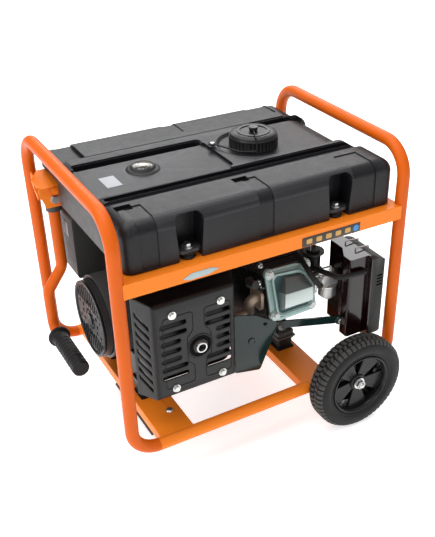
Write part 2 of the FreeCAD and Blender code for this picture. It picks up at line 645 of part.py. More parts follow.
def cylinder_head():
    core = rbox(-50, 50, -50, 50, 160, 208, 10, "z")
    fins = [rbox(-60, 58, -56, 58, z, z + 2.6, 10, "z") for z in (164, 172, 180, 188, 196)]
    rim_ = rbox(-57, 57, -57, 57, 202, 208, 13, "z")
    inlet = cyl(50, -8, 190, 15, 14, "x")
    outlet = Part.makeBox(12, 44, 34, V(-62, -28, 160))
    out = fuse(core, rim_, inlet, outlet, *fins)
    out = out.cut(cyl(20, -8, 190, 11, 60, "x"))
    out = out.cut(cyl(-70, -8, 176, 11, 50, "x"))
    out = out.cut(cyl(-70, 34, 186, 7.1, 40, "x"))
    return on_cylinder(out)


save("cylinder_head", cylinder_head())


def valve_cover():
    flange = rbox(-57, 57, -57, 57, 208, 215, 14, "z")
    for i in (-1, 1):
        for j in (-1, 1):
            flange = flange.fuse(cyl(47 * i, 47 * j, 208, 12.5, 9))
    step = rbox(-46, 46, -46, 46, 215, 222, 12, "z")
    dome = Part.makeBox(78, 80, 18, V(-37, -40, 220))
    dome = rounded(dome, 10, along("z"))
    dome = rounded(dome, 6, lambda c, d: abs(c.z - 238) < 0.1)
    hollow = rbox(-42, 42, -42, 42, 208, 218, 8, "z")
    out = flange.fuse(step).fuse(dome).removeSplitter().cut(hollow)
    for i in (-1, 1):
        for j in (-1, 1):
            out = out.cut(cyl(47 * i, 47 * j, 200, 3.2, 30))
            out = out.cut(cyl(47 * i, 47 * j, 217, 9.8, 30))
    return on_cylinder(out)


save("valve_cover", valve_cover())

screws = []
for i in (-1, 1):
    for j in (-1, 1):
        screws.append(on_cylinder(fuse(cyl(47 * i, 47 * j, 217, 9, 1.5), hexagon(47 * i, 47 * j, 218.5, 12, 6),
                                       cyl(47 * i, 47 * j, 208.2, 3.0, 11))))
for sx in (-217, -108):
    for sz in (116, 297):
        screws.append(fuse(cyl(sx, SHIELD_Y - 2, sz, 9, 2, "y"), cyl(sx, SHIELD_Y - 6.5, sz, 6, 5, "y"),
                           cyl(sx, SHIELD_Y - 1, sz, 2.8, 9, "y")))
save("engine_screws", compound(screws))

plug = on_cylinder(fuse(cyl(-60, 34, 186, 7.0, 14, "x"), hexagon(-70, 34, 186, 20, 10, "x"),
                        cyl(-84, 34, 186, 8.5, 14.5, "x")))
cap_top = on_cylinder(fuse(cyl(-88, 34, 186, 12, 12, "x"), cyl(-84, 34, 186, 9, 30)))
save("spark_plug", fuse(plug, cap_top))


# -------------------------------------------- carburettor, air filter, hoses
IN = on_cylinder(Part.Vertex(64, -8, 190)).Point     # centre of the inlet flange


def carburettor():
    x0, y, z = IN.x, IN.y, IN.z
    manifold = fuse(rbox(x0, x0 + 6, y - 22, y + 22, z - 18, z + 18, 6, "x"), cyl(x0, y, z, 15, 28, "x"),
                    rbox(x0 + 20, x0 + 25, y - 22, y + 22, z - 18, z + 18, 6, "x"))
    body = rbox(x0 + 25, x0 + 66, y - 17, y + 17, z - 16, z + 20, 5, "x")
    bowl = lathe([(0, z - 50), (13, z - 50), (21, z - 42), (21, z - 20), (21.8, z - 19), (21.8, z - 15), (0, z - 15)],
                 (x0 + 50, y, 0), "z")
    drain = hexagon(x0 + 50, y, z - 56, 9, 7)
    shelf = box(x0 + 2, x0 + 34, y - 10, y + 36, z + 17, z + 20)
    shelf = fuse(shelf, box(x0 + 2, x0 + 5, y - 10, y + 10, z + 10, z + 20))
    out = fuse(manifold, body, bowl, drain, shelf)
    out = out.cut(cyl(x0 - 1, y, z, 11, 80, "x"))
    out = out.cut(cyl(x0 + 58, y - 18, z + 12, 2.5 + FIT, 8, "y"))
    return out


save("carburettor", carburettor())
cx_, cz_ = IN.x + 58, IN.z + 12
choke = fuse(cyl(cx_, IN.y - 20.6, cz_, 2.5, 10, "y"), cyl(cx_, IN.y - 20.6, cz_, 6, 2.6, "y"),
             rbox(cx_ - 4, cx_ + 4, IN.y - 20.6, IN.y - 18, cz_, cz_ + 28, 3, "y"),
             rbox(cx_ - 5, cx_ + 5, IN.y - 25, IN.y - 18, cz_ + 25, cz_ + 31, 2, "y"))
save("choke_lever", choke)

POT = (170.0, -151.0, 293.0)
pot = fuse(cyl(POT[0], POT[1], IN.z + 20, 17, POT[2] - IN.z - 20), cyl(POT[0], POT[1], POT[2], 25, 4),
           cyl(POT[0], POT[1], POT[2] + 4, 15, 5))
save("governor_pot", pot)

AF_X = (IN.x + 66, 264.0, 299.0)     # inlet face, joint between base and lid, outer face
AF_Y = (-250.0, -128.0)
AF_Z = (86.0, 300.0)
AF_SLOPE = 15.0                      # the lid's top falls by this much towards its outer face


def lid_outline(inset):
    a, b, c, d = AF_Y[0] + inset, AF_Y[1] - inset, AF_Z[0] + inset, AF_Z[1] - inset
    return [(a, c + 10), (a + 8, c), (b - 8, c), (b, c + 10), (b, d - 10), (b - 10, d), (a + 8, d), (a, d - 6)]


def air_filter_lid():
    x0, x1 = AF_X[1], AF_X[2]
    d = AF_Z[1]
    wedge = plate_y([(x0 + 6, d), (x0 + 6, d + 20), (x1 + 5, d + 20), (x1 + 5, d - AF_SLOPE - 2.6), (x1, d - AF_SLOPE)],
                    AF_Y[0] - 5, AF_Y[1] + 5)
    out = plate_x(lid_outline(0), x0, x1).cut(wedge)
    out = rounded(out, 4.0, lambda c, q: abs(c.x - x1) < 0.1 and abs(q.y) < 0.99)
    lower = wedge.copy()
    lower.translate(V(0, 0, -3.4))
    out = out.cut(plate_x(lid_outline(3), x0 - 1, x1 - 3).cut(lower))
    for i in range(4):
        z = AF_Z[1] - 54 - 8 * i
        out = out.cut(box(x0 + 14, x1 - 7, AF_Y[0] - 1, AF_Y[0] + 4, z, z + 4))
    return out


save("air_filter_lid", air_filter_lid())


def base_plan(t):
    """Plan of the tub, drawn inset by t; deeper at the front than behind the carburettor."""
    a, b, x0, x1 = AF_Y[0] + 12 + t, AF_Y[1] - 6 - t, 210.0 + t, AF_X[1] + (1 if t else 0)
    return [(x1, b), (x1, a), (x0, a), (x0, -212 - 0.3 * t), (x0 + 19, -180 + 0.5 * t), (x0 + 19, b)]


def air_filter_base():
    c, d = AF_Z[0] + 12, AF_Z[1]

    def prism(t):
        w = Part.makePolygon([V(x, y, c + t) for x, y in base_plan(t) + base_plan(t)[:1]])
        return Part.Face(w).extrude(V(0, 0, d - c - 2 * t))

    tub = rounded(prism(0), 6.0, lambda m, q: abs(q.z) > 0.99 and abs(m.x - 210) < 1 and m.y < -230)
    tub = tub.cut(prism(3))
    rim_ = plate_x(lid_outline(0), AF_X[1] - 4, AF_X[1]).cut(prism(3))
    neck = cyl(AF_X[0], IN.y, IN.z, 14.5, 15, "x")
    out = fuse(tub, rim_, neck)
    out = out.cut(cyl(AF_X[0] - 1, IN.y, IN.z, 11, 22, "x"))
    return max(out.Solids, key=lambda q: q.Volume)


save("air_filter_base", air_filter_base())


def filter_brackets():
    """Two wire clips, the flat stay below and the small hose bracket on the filter."""
    parts = []
    for y in (-206, -168):
        parts.append(bar([(246, y, AF_Z[1] + 0.1), (246, y, AF_Z[1] + 7), (282, y, AF_Z[1] + 4), (282, y, AF_Z[1] - 5)],
                         [3, 2], 1.5))
    plan = [(70, -75.1), (79, -166), (207, -216), (207, -232), (210, -232), (210, -213.5), (82, -163.5), (73, -75.1)]
    w = Part.makePolygon([V(x, y, 129) for x, y in plan + plan[:1]])
    stay = Part.Face(w).extrude(V(0, 0, 15))
    stay = stay.cut(cyl(0, CRANK_Y, CRANK_Z, 97.05, 150, "x"))
    parts.append(max(stay.Solids, key=lambda q: q.Volume))
    return compound(parts)


save("filter_brackets", filter_brackets())


# -------------------------------------------------------- exhaust and muffler
EX = on_cylinder(Part.Vertex(-62.2, -8, 176)).Point


def muffler():
    body = rbox(-264, -70, -212, -106, 118, 306, 26)
    down = bar([(EX.x, EX.y, EX.z), (EX.x - 24, EX.y, EX.z), (EX.x - 24, EX.y, 186), (-76, EX.y, 186)],
               [16, 16], 13)
    flange = rbox(EX.x - 7, EX.x, EX.y - 24, EX.y + 24, EX.z - 22, EX.z + 22, 8, "x")
    spout = cyl(OUTLET[0], SHIELD_Y - 3, OUTLET[1], 16, 40, "y")
    out = fuse(body, down, flange, spout)
    out = out.cut(rbox(-262, -72, -210, -108, 120, 304, 24))
    out = out.cut(cyl(OUTLET[0], SHIELD_Y - 4, OUTLET[1], 13.5, 60, "y"))
    return out


save("muffler", muffler())


def shield_outline(grow):
    x0, x1 = SHIELD_X
    z0, z1 = SHIELD_Z
    return x0 - grow, x1 + grow, z0 - grow * 0.35, z1 + grow * 0.1


def shield_solid(inset):
    """Bevelled pan: small front face, flaring back on all sides."""
    def loop(y, g, r):
        x0, x1, z0, z1 = shield_outline(g)
        x0, x1, z0, z1 = x0 + inset, x1 - inset, z0 + inset, z1 - inset
        return Part.makePolygon([V(x0, y, z0), V(x1, y, z0), V(x1, y, z1), V(x0, y, z1), V(x0, y, z0)])
    yf = SHIELD_Y + inset
    return Part.makeLoft([loop(yf, 0, 0), loop(-172, 24, 0)], True, True)


def muffler_shield():
    outer = shield_solid(0)
    outer = outer.makeFillet(8.0, outer.Edges[0:0] or [e for e in outer.Edges
                             if abs(e.CenterOfMass.y - SHIELD_Y) < 0.5])
    inner = shield_solid(3)
    pan = outer.cut(inner)
    boss = ring(OUTLET[0], SHIELD_Y, OUTLET[1], 34, 26, 12, "y")
    pan = pan.cut(cyl(OUTLET[0], SHIELD_Y - 1, OUTLET[1], 26, 20, "y"))
    pan = fuse(pan, boss)
    for i in range(7):
        z = 269 - 21 * i
        near = 1 if 1 < i < 5 else 0
        xa, xb = SHIELD_X[0] + 12, OUTLET[0] - 28 - (14 if near else 0)
        pan = pan.cut(rounded(box(xa, xb, SHIELD_Y - 1, SHIELD_Y + 4, z - 1, z + 10), 5.4, along("y")))
        xa, xb = OUTLET[0] + 14 + (24 if near else 0), SHIELD_X[1] - 8
        pan = pan.cut(rounded(box(xa, xb, SHIELD_Y - 1, SHIELD_Y + 4, z - 1, z + 10), 5.4, along("y")))
    for i in range(8):
        z = 288 - 22 * i
        pan = pan.cut(plate_x([(-180, z + 10), (-180, z), (-215, z - 23), (-215, z - 13)], SHIELD_X[0] - 28,
                              SHIELD_X[0] - 3))
    for sx in (-217, -108):
        for sz in (116, 297):
            pan = pan.cut(cyl(sx, SHIELD_Y - 5, sz, 3.0, 20, "y"))
    return max(pan.Solids, key=lambda s: s.Volume)


save("muffler_shield", muffler_shield())
shroud = plate_y([(-40, 232), (26, 176), (4, 66), (-40, 74)], -203, -200.5)
shroud = fuse(shroud, box(-40, -37.5, -203, -150, 80, 225).cut(cyl(-50, EX.y, 186, 15, 30, "x")),
              plate_x([(-203, 72), (-92, 72), (-92, 74.5), (-203, 74.5)], -40, 4))
save("lower_shroud", shroud)


# ------------------------------------------- recoil starter, flywheel, crank
RX = (150.5, 208.0, 238.0)


def recoil_housing():
    """Fan shroud against the crankcase with the recoil starter drum on its outer side."""
    x0, x1, x2 = RX
    shell = lathe([(0, x0), (112, x0), (112, x1 - 8), (104, x1), (80, x1), (80, x2 - 8), (72, x2), (0, x2)],
                  (0, CRANK_Y, CRANK_Z), "x")
    space = lathe([(0, x0 - 1), (108, x0 - 1), (108, x1 - 9), (102, x1 - 4), (76, x1 - 4), (76, x2 - 9),
                   (70, x2 - 3), (0, x2 - 3)], (0, CRANK_Y, CRANK_Z), "x")
    out = shell.cut(space)
    for i in range(18):
        s = Part.makeBox(10, 4.5, 26, V(x2 - 6, -2.2, 34))
        s.rotate(V(0, 0, 0), V(1, 0, 0), 20 * i)
        s.translate(V(0, CRANK_Y, CRANK_Z))
        out = out.cut(s)
    # rope guide towards the panel side
    guide = cyl(x1 + 14, CRANK_Y + 60, CRANK_Z + 58, 9, 36, "y")
    out = fuse(out, guide.cut(space))
    out = out.cut(cyl(x1 + 14, CRANK_Y + 40, CRANK_Z + 58, 4.0, 70, "y"))
    return max(out.Solids, key=lambda s: s.Volume)


save("recoil_housing", recoil_housing())
gx, gy, gz = RX[1] + 14, CRANK_Y + 96.2, CRANK_Z + 58
tee = fuse(rbox(gx - 42, gx + 42, gy + 14, gy + 32, gz - 9, gz + 9, 7.5), cyl(gx, gy, gz, 8, 20, "y"),
           cyl(gx, gy - 30, gz, 3.0, 31, "y"))
save("recoil_handle", tee)


def flywheel():
    x0 = 156.0
    disc = ring(x0, CRANK_Y, CRANK_Z, 92, SHAFT_R, 14, "x")
    hub = ring(x0, CRANK_Y, CRANK_Z, 30, SHAFT_R, 30, "x")
    blades = []
    for i in range(16):
        b = Part.makeBox(16, 3, 34, V(x0 + 13, -1.5, 56))
        b.rotate(V(0, 0, 0), V(1, 0, 0), 22.5 * i)
        b.translate(V(0, CRANK_Y, CRANK_Z))
        blades.append(b)
    return fuse(disc, hub, *blades)


save("flywheel", flywheel())


def crankshaft():
    x0, x1 = -296.0, 192.0
    parts = [cyl(-240, CRANK_Y, CRANK_Z, SHAFT_R, x1 + 240, "x"), cyl(x0, CRANK_Y, CRANK_Z, 12, 60, "x"),
             cyl(-232, CRANK_Y, CRANK_Z, 58, 132, "x")]
    for xa in (52, 96):
        web = Part.makeBox(16, 52, 100, V(xa, CRANK_Y - 26, CRANK_Z - 62))
        parts.append(rounded(web, 12, along("x")))
    parts.append(cyl(60, CRANK_Y, CRANK_Z + 22, 14, 44, "x"))
    return fuse(*parts)


save("crankshaft", crankshaft())


# ---------------------------------------------------------------- alternator
ALT_R = 96.0
ALT_X = (-288.0, -62.0, -5.2)


def alternator_housing():
    xa, xb, xc = ALT_X
    body = lathe([(SHAFT_R + 6, xa), (ALT_R, xa), (ALT_R, xb), (88, xb + 8), (88, xc - 8), (94, xc - 6), (94, xc),
                  (SHAFT_R + 6, xc)], (0, CRANK_Y, CRANK_Z), "x")
    body = body.cut(cyl(xa - 1, CRANK_Y, CRANK_Z, 62, 206, "x"))
    for xs, xe, r in ((xa - 1, -228, 90), (-104, -84, 90), (-85, -14, 80)):
        body = body.cut(cyl(xs, CRANK_Y, CRANK_Z, r, xe - xs, "x"))
    feet = [rbox(FOOT_X[0] - 24, FOOT_X[0] + 24, s * FOOT_Y - 20, s * FOOT_Y + 20, BASE_Z, BASE_Z + 12, 4, "z")
            for s in (-1, 1)]
    saddle = box(FOOT_X[0] - 18, FOOT_X[0] + 18, -FOOT_Y + 4, FOOT_Y - 4, BASE_Z, CRANK_Z - 60)
    saddle = saddle.cut(cyl(FOOT_X[0] - 50, CRANK_Y, CRANK_Z, ALT_R - 1, 100, "x"))
    out = fuse(body, saddle, *feet)
    for s in (-1, 1):
        out = out.cut(cyl(FOOT_X[0], s * FOOT_Y, 0, 5.2, 100))
        out = out.cut(cyl(FOOT_X[0], s * FOOT_Y, BASE_Z + 12, 14, 22))
    for i in range(6):
        w = box(-50, -18, CRANK_Y - 9, CRANK_Y + 9, CRANK_Z + 80, CRANK_Z + 100)
        w.rotate(V(0, CRANK_Y, CRANK_Z), V(1, 0, 0), 60 * i + 30)
        out = out.cut(w)
    return max(out.Solids, key=lambda s: s.Volume)


save("alternator_housing", alternator_housing())


def end_cover():
    x0, x1 = -306.0, ALT_X[0]
    out = lathe([(0, x0), (82, x0), (88, x0 + 4), (88, x1), (78, x1), (78, x0 + 5), (0, x0 + 5)],
                (0, CRANK_Y, CRANK_Z), "x")
    seat = cyl(x0 + 4, CRANK_Y, CRANK_Z, 22, 12, "x")
    out = fuse(out, seat)
    out = out.cut(cyl(x0 + 6, CRANK_Y, CRANK_Z, 12 + FIT, 30, "x"))
    for i in range(14):
        a = math.radians(360.0 / 14 * i)
        out = out.cut(cyl(x0 - 1, CRANK_Y + 42 * math.cos(a), CRANK_Z + 42 * math.sin(a), 5, 8, "x"))
    for i in range(10):
        a = math.radians(36.0 * i + 18)
        if math.sin(a) > -0.5:
            out = out.cut(cyl(x0 - 1, CRANK_Y + 62 * math.cos(a), CRANK_Z + 62 * math.sin(a), 4, 8, "x"))
    for i in range(7):
        y = CRANK_Y - 36 + 12 * i
        h = 22 - abs(i - 3) * 3
        out = out.cut(box(x0 - 1, x0 + 8, y - 2.5, y + 2.5, CRANK_Z - 72, CRANK_Z - 72 + h))
    return out


save("alternator_end_cover", end_cover())


# ------------------------------------------------------------- control panel
BX = (-290.0, 62.0)
BY = (118.0, 226.0)
BZ = (224.0, 376.0)


def control_box():
    out = rbox(BX[0], BX[1], BY[0], BY[1], BZ[0], BZ[1], 8, "y")
    out = out.cut(rbox(BX[0] + 3, BX[1] - 3, BY[0] + 3, BY[1] + 1, BZ[0] + 3, BZ[1] - 3, 6, "y"))
    # brackets that hang the box from the rear tank rail
    for x in (-250, 20):
        out = fuse(out, box(x - 12, x + 12, 196, 199, BZ[1] - 6, RAIL_TOP - SHEET),
                   box(x - 12, x + 12, 194, 222, RAIL_TOP - SHEET - 3, RAIL_TOP - SHEET))
    return out


save("control_box", control_box())

SOCKETS = (-190.0, -105.0)
SOCK_Z = 292.0
PY = 226.0
SW_X, SW_Z = 15.0, 262.0
CB_X, CB_Z = -40.0, 262.0


def control_panel():
    """Face plate with two round sockets, a meter and openings for the switch and breaker."""
    out = rbox(BX[0] + 1, BX[1] - 1, PY, PY + 3, BZ[0] + 1, BZ[1] - 1, 7, "y")
    for sx in SOCKETS:
        out = fuse(out, cyl(sx, PY + 3, SOCK_Z, 27, 12, "y"))
        out = out.cut(cyl(sx, PY + 1, SOCK_Z, 20, 20, "y"))
    for sx in SOCKETS:
        for s in (-1, 1):
            hinge = box(sx + s * 12 - 3, sx + s * 12 + 3, PY + 3, PY + 21, SOCK_Z + 27.4, SOCK_Z + 35)
            base = box(sx + s * 12 - 3, sx + s * 12 + 3, PY + 2, PY + 8, SOCK_Z + 20, SOCK_Z + 35)
            out = fuse(out, hinge, base)
        out = out.cut(cyl(sx - 16, PY + 17.5, SOCK_Z + 31.2, 1.5 + FIT, 32, "x"))
    out = fuse(out, rbox(-45, 25, PY + 3, PY + 9, 308, 360, 5, "y"))
    out = out.cut(box(SW_X - 11.2, SW_X + 11.2, PY - 1, PY + 4, SW_Z - 15.2, SW_Z + 15.2))
    out = out.cut(cyl(CB_X, PY - 1, CB_Z, 7.2, 6, "y"))
    return out


save("control_panel", control_panel())


def socket_lid(sx):
    disc = cyl(sx, PY + 15.3, SOCK_Z, 27, 4.5, "y")
    ear = box(sx - 8.6, sx + 8.6, PY + 15.3, PY + 19.8, SOCK_Z + 20, SOCK_Z + 31.2)
    barrel = cyl(sx - 8.6, PY + 17.5, SOCK_Z + 31.2, 2.4, 17.2, "x")
    pin = cyl(sx - 15, PY + 17.5, SOCK_Z + 31.2, 1.5, 30, "x")
    tab = box(sx - 8, sx + 8, PY + 15.3, PY + 19.8, SOCK_Z - 33, SOCK_Z - 24)
    return fuse(disc, ear, barrel, pin, tab)


save("socket_lid_left", socket_lid(SOCKETS[0]))
save("socket_lid_right", socket_lid(SOCKETS[1]))
rocker = plate_x([(PY - 6, SW_Z - 11), (PY + 4, SW_Z - 13.2), (PY + 8.5, SW_Z - 13), (PY + 4.5, SW_Z),
                  (PY + 5, SW_Z + 13.2), (PY - 6, SW_Z + 11)], SW_X - 10.8, SW_X + 10.8)
save("engine_switch", rocker)
save("breaker_button", fuse(cyl(CB_X, PY - 8, CB_Z, 7.0, 18, "y"), cyl(CB_X, PY - 10, CB_Z, 9.5, 3, "y")))


# ----------------------------------------------------- hoses, mounts, bolts
save("fuel_hose", bar([(tx, ty, 366), (tx, ty, 340), (196, -116, 310), (196, -116, 258), (191, -116, 245),
                       (191, IN.y + 17.2, 245)], [14, 14, 5, 5], 4.2))
BR = on_cylinder(Part.Vertex(58.2, 32, 200)).Point   # breather union on the head
save("breather_hose", bar([(BR.x, BR.y, BR.z), (151, BR.y, BR.z), (176, -246, 272), (246, -246, 266),
                           (246, AF_Y[0] + 12, 266)], [6.5, 14, 6], 6.0))

mounts, bolts = [], []
for fx in FOOT_X:
    for s in (-1, 1):
        fy = s * FOOT_Y
        mounts.append(lathe([(5.2, CROSS_TOP), (21, CROSS_TOP), (23, CROSS_TOP + 4), (19, 32), (22, BASE_Z - 3),
                             (21, BASE_Z), (5.2, BASE_Z)], (fx, fy, 0), "z"))
        bolts.append(fuse(cyl(fx, fy, -6, 5.0, 72), cyl(fx, fy, BASE_Z + 12, 11, 2),
                          hexagon(fx, fy, BASE_Z + 14, 16, 8), hexagon(fx, fy, CROSS_TOP - SHEET - 8, 16, 8)))
for s in (-1, 1):
    ly = s * LEG_Y
    bolts.append(fuse(cyl(LEG_X, ly, 0, 4.0, 15), lathe([(0, CROSS_TOP), (8.5, CROSS_TOP), (6, CROSS_TOP + 3.5),
                                                        (0, CROSS_TOP + 4)], (LEG_X, ly, 0), "z"),
                      hexagon(LEG_X, ly, CROSS_TOP - SHEET - 4 - 6, 13, 6)))
bolts.append(fuse(cyl(PIVOT[0], 144, PIVOT[2], 5.0, 54, "y"), cyl(PIVOT[0], 146, PIVOT[2], 10, 2, "y"),
                  hexagon(PIVOT[0], 140, PIVOT[2], 16, 6, "y"), hexagon(PIVOT[0], 191, PIVOT[2], 16, 7, "y")))
save("isolation_mounts", compound(mounts))
save("frame_bolts", compound(bolts))
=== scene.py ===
import bpy
import bmesh
import math
from mathutils import Matrix, Vector


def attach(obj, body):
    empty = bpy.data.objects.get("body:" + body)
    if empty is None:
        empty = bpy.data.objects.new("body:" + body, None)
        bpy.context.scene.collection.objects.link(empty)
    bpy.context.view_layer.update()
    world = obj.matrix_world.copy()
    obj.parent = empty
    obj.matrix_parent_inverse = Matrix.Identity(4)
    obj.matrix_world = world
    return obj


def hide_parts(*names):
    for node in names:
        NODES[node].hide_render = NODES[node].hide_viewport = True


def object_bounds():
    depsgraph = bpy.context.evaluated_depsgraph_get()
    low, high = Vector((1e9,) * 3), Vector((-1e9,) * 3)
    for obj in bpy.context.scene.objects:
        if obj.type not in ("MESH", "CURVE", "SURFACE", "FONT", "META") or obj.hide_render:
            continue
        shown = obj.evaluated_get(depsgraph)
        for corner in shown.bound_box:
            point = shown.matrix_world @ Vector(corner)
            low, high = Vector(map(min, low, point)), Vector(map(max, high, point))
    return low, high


# Portable generator. The CAD nodes are the frame; this script gives them their
# finishes and adds the detail pieces. Layout numbers are in millimetres, in the
# CAD layout (z = 0 at the centre of the bottom tubes); P() takes them to the row frame.

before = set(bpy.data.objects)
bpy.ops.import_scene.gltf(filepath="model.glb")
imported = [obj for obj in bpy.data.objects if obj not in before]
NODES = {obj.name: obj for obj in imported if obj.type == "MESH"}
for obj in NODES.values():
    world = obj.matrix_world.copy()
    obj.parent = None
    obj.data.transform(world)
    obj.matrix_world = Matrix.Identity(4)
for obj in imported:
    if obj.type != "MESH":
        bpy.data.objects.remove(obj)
CAD_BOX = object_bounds()
MM = 0.001
SHIFT = Vector((16.0, 0.0, 107.0))

SAME_POINT = 1e-6                      # metres, below which mesh points are merged
CAD_EDGE_ANGLE = math.radians(28)      # sharper CAD edges are shown as edges
BEVEL_ANGLE = math.radians(35)
STAY_BELOW, PIPE_FROM = 0.30, -0.045   # row frame, metres: where a node's second finish ends
CAP_AXIS = (104, 0, 0)
GAUGE_AXIS = (-160, 0, 0)
OUTLET = (-158, 0, 203)
STAY_BOLT = (203, -214, 136.5)
ALTERNATOR = (-306, 15, 180)           # middle of the end cover's outer face
MOUNT_XS, MOUNT_YS = (-230, 130), (-88, 88)
MOUNT_FOOT, MOUNT_HEAD = 14, 50        # under and over the rubber


def P(x, y, z):
    """Layout millimetres to row-frame metres."""
    return (Vector((x, y, z)) + SHIFT) * MM


# ------------------------------------------------------------------ materials
def shader(name, colour, rough, metal=0.0, grain=None, mottle=0.12, rough_var=0.08, coat=0.0,
           edge=None, bevel=0.0, spec=0.5, transmission=0.0, streak=None):
    """Principled material with colour mottle, roughness change, surface grain and a painted highlight on
    sharp convex edges.
    """
    m = bpy.data.materials.new(name)
    m.use_nodes = True
    nt = m.node_tree
    nt.nodes.clear()

    def node(kind, **values):
        n = nt.nodes.new(kind)
        for k, v in values.items():
            if k in n.inputs:
                n.inputs[k].default_value = v
            else:
                setattr(n, k, v)
        return n

    def link(a, b):
        nt.links.new(a, b)

    out = node("ShaderNodeOutputMaterial")
    bsdf = node("ShaderNodeBsdfPrincipled")
    link(bsdf.outputs[0], out.inputs[0])
    bsdf.inputs["Metallic"].default_value = metal
    bsdf.inputs["Specular IOR Level"].default_value = spec
    bsdf.inputs["Coat Weight"].default_value = coat
    bsdf.inputs["Coat Roughness"].default_value = 0.12
    bsdf.inputs["Transmission Weight"].default_value = transmission
    coord = node("ShaderNodeTexCoord")
    big = node("ShaderNodeTexNoise", Scale=9.0, Detail=4.0)
    link(coord.outputs["Object"], big.inputs["Vector"])
    ramp = node("ShaderNodeValToRGB")
    ramp.color_ramp.elements[0].position = 0.3
    ramp.color_ramp.elements[1].position = 0.7
    ramp.color_ramp.elements[0].color = [c * (1 - mottle) for c in colour] + [1]
    ramp.color_ramp.elements[1].color = [min(1, c * (1 + mottle)) for c in colour] + [1]
    link(big.outputs["Fac"], ramp.inputs["Fac"])
    last = ramp.outputs["Color"]
    # edge: a lighter colour painted on sharp convex edges (high pointiness), a painted highlight
    if edge:
        geo = node("ShaderNodeNewGeometry")
        edge_highlight_ramp = node("ShaderNodeValToRGB")
        edge_highlight_ramp.color_ramp.elements[0].position = 0.53
        edge_highlight_ramp.color_ramp.elements[1].position = 0.62
        link(geo.outputs["Pointiness"], edge_highlight_ramp.inputs["Fac"])
        mix = node("ShaderNodeMix", data_type="RGBA")
        link(edge_highlight_ramp.outputs["Color"], mix.inputs["Factor"])
        link(last, mix.inputs["A"])
        mix.inputs["B"].default_value = list(edge) + [1]
        last = mix.outputs["Result"]
    link(last, bsdf.inputs["Base Color"])
    fine = node("ShaderNodeTexNoise", Scale=60.0, Detail=3.0)
    link(coord.outputs["Object"], fine.inputs["Vector"])
    rr = node("ShaderNodeMapRange")
    rr.inputs["To Min"].default_value = max(0.02, rough - rough_var)
    rr.inputs["To Max"].default_value = min(1.0, rough + rough_var)
    link(fine.outputs["Fac"], rr.inputs["Value"])
    link(rr.outputs["Result"], bsdf.inputs["Roughness"])
    normal = None
    if bevel:
        bv = node("ShaderNodeBevel", samples=3)
        bv.inputs["Radius"].default_value = bevel
        normal = bv.outputs["Normal"]
    if grain or streak:
        if streak:
            tex = node("ShaderNodeTexNoise", Scale=1.0, Detail=2.0)
            mp = node("ShaderNodeMapping")
            mp.inputs["Scale"].default_value = streak
            link(coord.outputs["Object"], mp.inputs["Vector"])
            link(mp.outputs["Vector"], tex.inputs["Vector"])
            strength, dist = 0.25, 0.0004
        else:
            tex = node("ShaderNodeTexNoise", Scale=grain[0], Detail=2.0)
            link(coord.outputs["Object"], tex.inputs["Vector"])
            strength, dist = grain[1], 0.0006
        bump = node("ShaderNodeBump", Strength=strength, Distance=dist)
        link(tex.outputs["Fac"], bump.inputs["Height"])
        if normal:
            link(normal, bump.inputs["Normal"])
        normal = bump.outputs["Normal"]
    if normal:
        link(normal, bsdf.inputs["Normal"])
    return m
